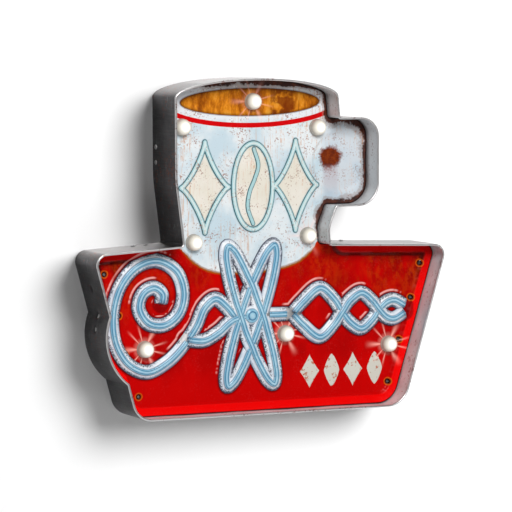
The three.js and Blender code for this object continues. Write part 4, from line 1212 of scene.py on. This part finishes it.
def frosted(n):
    share = n.read("share")
    cloud = n.noise(n.place(), 160.0, 3.0, 0.5)
    # The cap's colour darkens towards its rim: painted shade round the edge of the dome.
    color = n.ramp(share, [(0.0, srgb(235, 233, 228)), (0.5, srgb(206, 203, 194)),
                           (0.8, srgb(182, 177, 166)), (0.93, srgb(160, 154, 142)),
                           (1.0, srgb(132, 126, 114))])
    color = n.coat(color, srgb(225, 214, 190), n.step(cloud, 0.5, 0.7), 0.15)
    light = n.ramp(share, [(0.0, (1.0, 1.0, 1.0)), (0.34, (0.8, 0.8, 0.78)), (0.55, (0.5, 0.49, 0.45)),
                           (0.8, (0.34, 0.32, 0.28)), (0.93,
                                                       (0.22, 0.2, 0.17)), (1.0, (0.1, 0.09, 0.08))])
    return {"Base Color": color, "Emission Color": light,
            "Roughness": n.plus(0.28, n.times(cloud, 0.1)),
            "Normal": bumped(n, n.noise(n.place(), 900.0, 2.0), 0.06, 0.0004)}


MATERIALS["globe"] = material("frosted globe", frosted, emission_strength=1.0, coat_weight=0.4,
                              coat_roughness=0.15)


def moulded(dark, pale, grain=900.0):
    def build(n):
        cloud = n.noise(n.place(), 60.0, 4.0, 0.6)
        color = n.mix(n.step(cloud, 0.35, 0.68), srgb(*dark), srgb(*pale))
        dust = n.noise(n.place(), 420.0, 3.0, 0.6)
        color = n.coat(color, srgb(150, 146, 140), n.step(dust, 0.55, 0.75), 0.2)
        return {"Base Color": color, "Roughness": n.plus(0.42, n.times(cloud, 0.2)),
                "Normal": bumped(n, n.noise(n.place(), grain, 2.0), 0.18, 0.0003)}
    return build


MATERIALS["socket"] = material("socket plastic", moulded((196, 192, 184), (222, 219, 212)))
for k in range(1, 9):
    low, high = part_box(f"led_globe_{k}")
    radius, back_end, front_end = (high.x - low.x) / 2 / MM, -high.y / MM, -low.y / MM
    seat = FACE_FORWARD + 0.3
    barrel = front_end - radius
    profile = [(3.6, back_end), (4.2, back_end + 0.6), (4.2, seat), (radius - 0.5, seat),
               (radius, seat + 0.5), (radius,
                                      seat + 1.1), (radius - 0.35,
                                                    seat + 1.35), (radius - 0.35, seat + 1.7)]
    share = [1, 1, 1, 1, 1, 1, 1, 0.98]
    for a in np.radians(np.linspace(0, 88, 16)):
        profile.append(((radius - 0.35) * math.cos(a), barrel + radius * math.sin(a)))
        share.append(math.cos(a))
    turned(f"globe_{k}", profile, LAMPS[k - 1], MATERIALS["globe"], "globe", values={"share": share},
           nodes=[f"led_globe_{k}"], smooth=40)
    low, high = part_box(f"led_socket_{k}")
    radius, foot, top = (high.x - low.x) / 2 / MM, -high.y / MM, -low.y / MM
    profile = [(5.0, foot), (5.6, foot + 0.3), (radius - 0.3, foot + 1.4), (radius, foot + 1.9)]
    for rib in np.linspace(foot + 3, top - 3, 5):
        profile += [(radius, rib - 0.7), (radius - 0.5, rib - 0.4), (radius - 0.5, rib + 0.4),
                    (radius, rib + 0.7)]
    profile += [(radius, top - 0.3), (radius - 0.3, top), (4.9, top), (4.8, top - 7)]
    turned(f"socket_{k}", profile, LAMPS[k - 1], MATERIALS["socket"], "socket_plastic",
           nodes=[f"led_socket_{k}"], smooth=30)
print("lamps: 8")

# %% [markdown]
# ## Wiring
# A thin twin lead runs from the battery box through the lamps one after another. Each stretch is two
# soft round cores side by side, bowed a little, and it ends in the side of a socket. It is fixed at
# both ends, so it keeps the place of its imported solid.

# %% Leads
LEAD_FORWARD = 19.0
LEAD_SLACK = 0.07
CORE_RADIUS, CORE_PLACE = 0.56, 0.52
SOCKET_REACH = 7.4  # from a lamp's middle to where its lead ends
LEAD_ORDER = [6, 4, 2, 1, 3, 5, 7, 8]


def lead_jacket(n):
    print_ = n.noise(n.place(), 210.0, 3.0)
    color = n.mix(n.step(print_, 0.4, 0.65), srgb(205, 202, 194), srgb(232, 229, 222))
    return {"Base Color": color, "Roughness": n.plus(0.4, n.times(print_, 0.2))}


MATERIALS["lead"] = material("lead jacket", lead_jacket)
low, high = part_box("battery_box")
box_end = np.array([low.x / MM - SHIFT[0], (low.z + high.z) / 2 / MM - SHIFT[1] + 6])
for k, lamp in enumerate(LEAD_ORDER):
    source = box_end - (1.4, 0) if k == 0 else LAMPS[LEAD_ORDER[k - 1] - 1]
    way = unit(LAMPS[lamp - 1] - source)
    a, b = source + way * (0 if k == 0 else SOCKET_REACH), LAMPS[lamp - 1] - way * SOCKET_REACH
    bow = np.array([-way[1], way[0]])
    path = curve_through([a, (a + b) / 2 + bow * LEAD_SLACK * np.linalg.norm(b - a), b], step=2.0)
    across_core, forward_core = CORE_RADIUS * circle(12).T
    verts, faces = [], []
    for core in (-CORE_PLACE, CORE_PLACE):
        flat = path[:, None, :] + across(path)[:, None, :] * (core + across_core)[None, :, None]
        forward = np.tile(LEAD_FORWARD + forward_core, len(path))
        start = sum(len(v) for v in verts)
        verts.append(stand(flat.reshape(-1, 2), forward))
        faces += skin(len(path), 12, start, around=True, caps=(0, len(path) - 1))
    piece(f"lead_{k + 1}", np.vstack(verts), faces, MATERIALS["lead"], "lead_jacket",
          nodes=[f"led_lead_{k + 1}"])
print("leads:", len(LEAD_ORDER))

# %% [markdown]
# ## Plates, rivets and the battery box
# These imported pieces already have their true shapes. What a bare model lacks is the softened edge every
# real moulding and stamping has, so each is copied, its flat areas are joined, and a small bevel is
# added. The copy stands for its node and rides on the node's own body.

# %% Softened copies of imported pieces
def steel(n):
    cloud = n.noise(n.place(), 70.0, 5.0, 0.6)
    brushed = n.noise(n.place((0.05, 1, 1)), 1100.0, 3.0)
    color = n.mix(n.step(cloud, 0.35, 0.7), srgb(146, 146, 148), srgb(186, 185, 184))
    color = n.coat(color, srgb(210, 209, 207), n.step(brushed, 0.4, 0.7), 0.3)
    spots = use(n, SPECKS, Scale=420.0, Amount=0.75, Shift=(0.4, 0.4, 0.0))
    color = n.coat(color, use(n, RUST, "Color"), spots, 0.85)
    return {"Base Color": color, "Roughness": n.plus(0.3, n.times(cloud, 0.25)),
            "Metallic": n.minus(0.92, n.times(spots, 0.8)),
            "Normal": bumped(n, brushed, 0.12, 0.0003)}


def nickel(n):
    cloud = n.noise(n.place(), 240.0, 4.0, 0.6)
    color = n.mix(n.step(cloud, 0.35, 0.68), srgb(196, 192, 180), srgb(222, 219, 208))
    return {"Base Color": color, "Roughness": n.plus(0.2, n.times(cloud, 0.2)),
            "Metallic": n.minus(1.0, n.times(cloud, 0.1))}


def foam(n):
    cells = n.add("ShaderNodeTexVoronoi", {"Vector": n.place(), "Scale": 1600.0}).outputs["Distance"]
    cloud = n.noise(n.place(), 90.0, 3.0)
    color = n.mix(n.step(cloud, 0.35, 0.65), srgb(206, 205, 198), srgb(228, 227, 221))
    color = n.coat(color, srgb(150, 148, 140), n.step(cells, 0.35, 0.1), 0.35)
    return {"Base Color": color, "Roughness": n.plus(0.85, n.times(cloud, 0.1)),
            "Normal": bumped(n, cells, 0.6, 0.0004)}


MATERIALS["steel"] = material("zinc-plated steel", steel)
MATERIALS["nickel"] = material("nickel contact", nickel)
MATERIALS["foam"] = material("foam tape", foam, sheen_weight=0.2)
MATERIALS["box"] = material("black moulding", moulded((24, 24, 26), (38, 38, 41)))
MATERIALS["knob"] = material("pale moulding", moulded((205, 202, 195), (226, 224, 218)))


def softened(node, finish, slot, width, segments=2, angle=38):
    source = NODES[node]
    work = bmesh.new()
    work.from_mesh(source.data)
    bmesh.ops.remove_doubles(work, verts=work.verts, dist=2e-6)
    bmesh.ops.dissolve_limit(work, angle_limit=math.radians(1), verts=work.verts, edges=work.edges)
    mesh = bpy.data.meshes.new(f"{node}_soft")
    work.to_mesh(mesh)
    work.free()
    mesh.materials.append(finish)
    obj = bpy.data.objects.new(f"{node}_soft", mesh)
    bpy.context.collection.objects.link(obj)
    bevel = obj.modifiers.new("bevel", "BEVEL")
    bevel.width = width * MM
    bevel.segments = segments
    bevel.limit_method = "ANGLE"
    bevel.angle_limit = math.radians(angle)
    bevel.use_clamp_overlap = True
    mesh.shade_smooth()
    mesh.set_sharp_from_angle(angle=math.radians(50))
    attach(obj, source["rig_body"])
    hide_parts(node)
    return obj


rivets = [(node, "steel", "steel", 0.3, 3, 25) for node in NODES if "rivet" in node]
for node, finish, slot, *bevel in [
        ("hanger_strap", "steel", "steel", 0.35), ("splice_plate_left", "steel", "steel", 0.25),
        ("splice_plate_handle", "steel", "steel", 0.25), ("splice_plate_right", "steel", "steel", 0.25),
        *rivets, ("battery_box", "box", "box_plastic", 0.4),
        ("battery_cover", "box", "box_plastic", 0.3),
        ("switch_body", "box", "box_plastic", 0.3), ("switch_knob", "knob", "knob_plastic", 0.2),
        ("foam_pad", "foam", "foam", 0.15), ("plate_terminal", "nickel", "nickel", 0.05),
        ("spring_terminal", "nickel", "nickel", 0.05), ("bridge_contact", "nickel", "nickel", 0.05)]:
    softened(node, MATERIALS[finish], slot, *bevel)

# %% [markdown]
# ### Cells
# A cell is a steel can in a printed sleeve: a nub at one end, a crimped shoulder, and a flat end. It is
# turned on a lathe like the lamps, along the box's long side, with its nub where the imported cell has
# it.

# %% Cells
def sleeve(n):
    share = n.read("share")
    cloud = n.noise(n.place(), 120.0, 3.0)
    color = n.mix(n.step(share, 0.235, 0.245), srgb(206, 150, 40), srgb(34, 44, 70))
    color = n.mix(n.step(n.apart(share, 0.27), 0.012, 0.008), color, srgb(226, 222, 210))
    metal = n.math("ADD", n.step(share, 0.035, 0.03), n.step(share, 0.965, 0.97), clamp=True)
    color = n.mix(metal, color, srgb(198, 196, 190))
    color = n.coat(color, srgb(120, 118, 112), n.step(cloud, 0.5, 0.75), 0.15)
    return {"Base Color": color, "Metallic": n.plus(0.25, n.times(metal, 0.7)),
            "Roughness": n.plus(0.28, n.times(cloud, 0.12))}


MATERIALS["sleeve"] = material("cell sleeve", sleeve)
CAN_RADIUS = 7.25
for k, nub_side in ((1, -1), (2, 1)):
    low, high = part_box(f"battery_{k}")
    length, radius = high.x - low.x, (high.z - low.z) / 2
    profile = [(0.02, 0), (2.2, 0), (2.6, 0.35), (2.6, 1.3), (4.6, 1.3), (5.0, 1.0), (6.4, 1.0),
               (7.0, 1.35),
               (CAN_RADIUS, 1.9), (CAN_RADIUS, 3.2), (7.12, 3.5), (CAN_RADIUS, 3.8),
               (CAN_RADIUS, length / MM - 1.2),
               (7.0, length / MM - 0.5), (6.5, length / MM - 0.1), (5.6, length / MM),
               (5.3, length / MM - 0.25),
               (0.02, length / MM - 0.25)]
    verts = []
    for r, h in profile:
        x_at = low.x + h * MM if nub_side < 0 else high.x - h * MM
        rim = circle(40) * r / CAN_RADIUS * radius
        verts += [(x_at, (low.y + high.y) / 2 + y, (low.z + high.z) / 2 + z) for y, z in rim]
    faces = skin(len(profile), 40, around=True)
    share = np.repeat([h / (length / MM) for _, h in profile], 40)
    piece(f"cell_{k}", verts, faces, MATERIALS["sleeve"], "cell_jacket", values={"share": share},
          nodes=[f"battery_{k}"], smooth=40)
print("cells: 2")

# %% [markdown]
# ## Stage and light
# The sign hangs on a plain pale wall. The wall is seen only from its front, so that the back of the
# sign can be looked at too, and it lets shadow rays through for the same reason. One large soft lamp
# lights the stage only, so the soft shadow falls to the left; two more light the sign only, from front
# and back.

# %% Wall, floor and lights
def stage_plane(name, corners, finish):
    mesh = bpy.data.meshes.new(name)
    mesh.from_pydata(corners, [], [(0, 1, 2, 3)])
    mesh.materials.append(finish)
    obj = bpy.data.objects.new(name, mesh)
    bpy.context.collection.objects.link(obj)
    return obj


def pale_stage(name, one_sided):
    pale = lambda n: {"Base Color": n.mix(n.noise(n.place(), 3.0), (0.86, 0.86, 0.86), (0.88, 0.88, 0.88))}
    mat = material(name, pale, roughness=0.9, specular_ior_level=0.1)
    if one_sided:
        n = Nodes(mat.node_tree)
        bsdf, out = mat.node_tree.nodes["Principled BSDF"], mat.node_tree.nodes["Material Output"]
        clear = n.add("ShaderNodeBsdfTransparent").outputs[0]
        behind = n.add("ShaderNodeNewGeometry").outputs["Backfacing"]
        shadow = n.add("ShaderNodeLightPath").outputs["Is Shadow Ray"]
        blend = n.add("ShaderNodeMixShader",
                      {0: n.math("MAXIMUM", behind, shadow), 1: bsdf.outputs[0], 2: clear})
        mat.node_tree.links.new(blend.outputs[0], out.inputs["Surface"])
    return mat


WALL = 0.0004
stage_plane("wall", [(-3, WALL, -1.3), (3, WALL, -1.3), (3, WALL, 2.2), (-3, WALL, 2.2)],
            pale_stage("pale wall", True))
stage_plane("floor", [(-3, -4, -1.3), (3, -4, -1.3), (3, 3, -1.3), (-3, 3, -1.3)],
            pale_stage("pale floor", True))


def area_light(name, place, size, power, tint=(1, 1, 1), aim=(0, 0, -0.1)):
    data = bpy.data.lights.new(name, "AREA")
    data.shape = "DISK"
    data.size = size
    data.energy = power
    data.color = tint
    lamp = bpy.data.objects.new(name, data)
    bpy.context.collection.objects.link(lamp)
    lamp.location = place
    lamp.rotation_euler = (Vector(aim) - Vector(place)).to_track_quat("-Z", "Y").to_euler()
    return lamp


def only_on(lamp, objects):
    """The lamp lights only these objects."""
    group = bpy.data.collections.new(f"lit_by_{lamp.name}")
    for obj in objects:
        group.objects.link(obj)
    lamp.light_linking.receiver_collection = group


stage_objects = [bpy.data.objects["wall"], bpy.data.objects["floor"]]
sign_objects = [o for o in bpy.data.objects if o.type == "MESH" and o not in stage_objects]
only_on(area_light("wall_key", (0.95, -1.9, 0.75), 1.65, 73), stage_objects)
only_on(area_light("sign_key", (-0.35, -2.3, 1.15), 1.1, 58), sign_objects)
only_on(area_light("back_fill", (0.6, 1.8, 0.9), 1.2, 34), sign_objects)
world = bpy.data.worlds.new("studio")
bpy.context.scene.world = world
world.use_nodes = True
world.node_tree.nodes["Background"].inputs["Color"].default_value = (1, 1, 1, 1)
world.node_tree.nodes["Background"].inputs["Strength"].default_value = 0.155
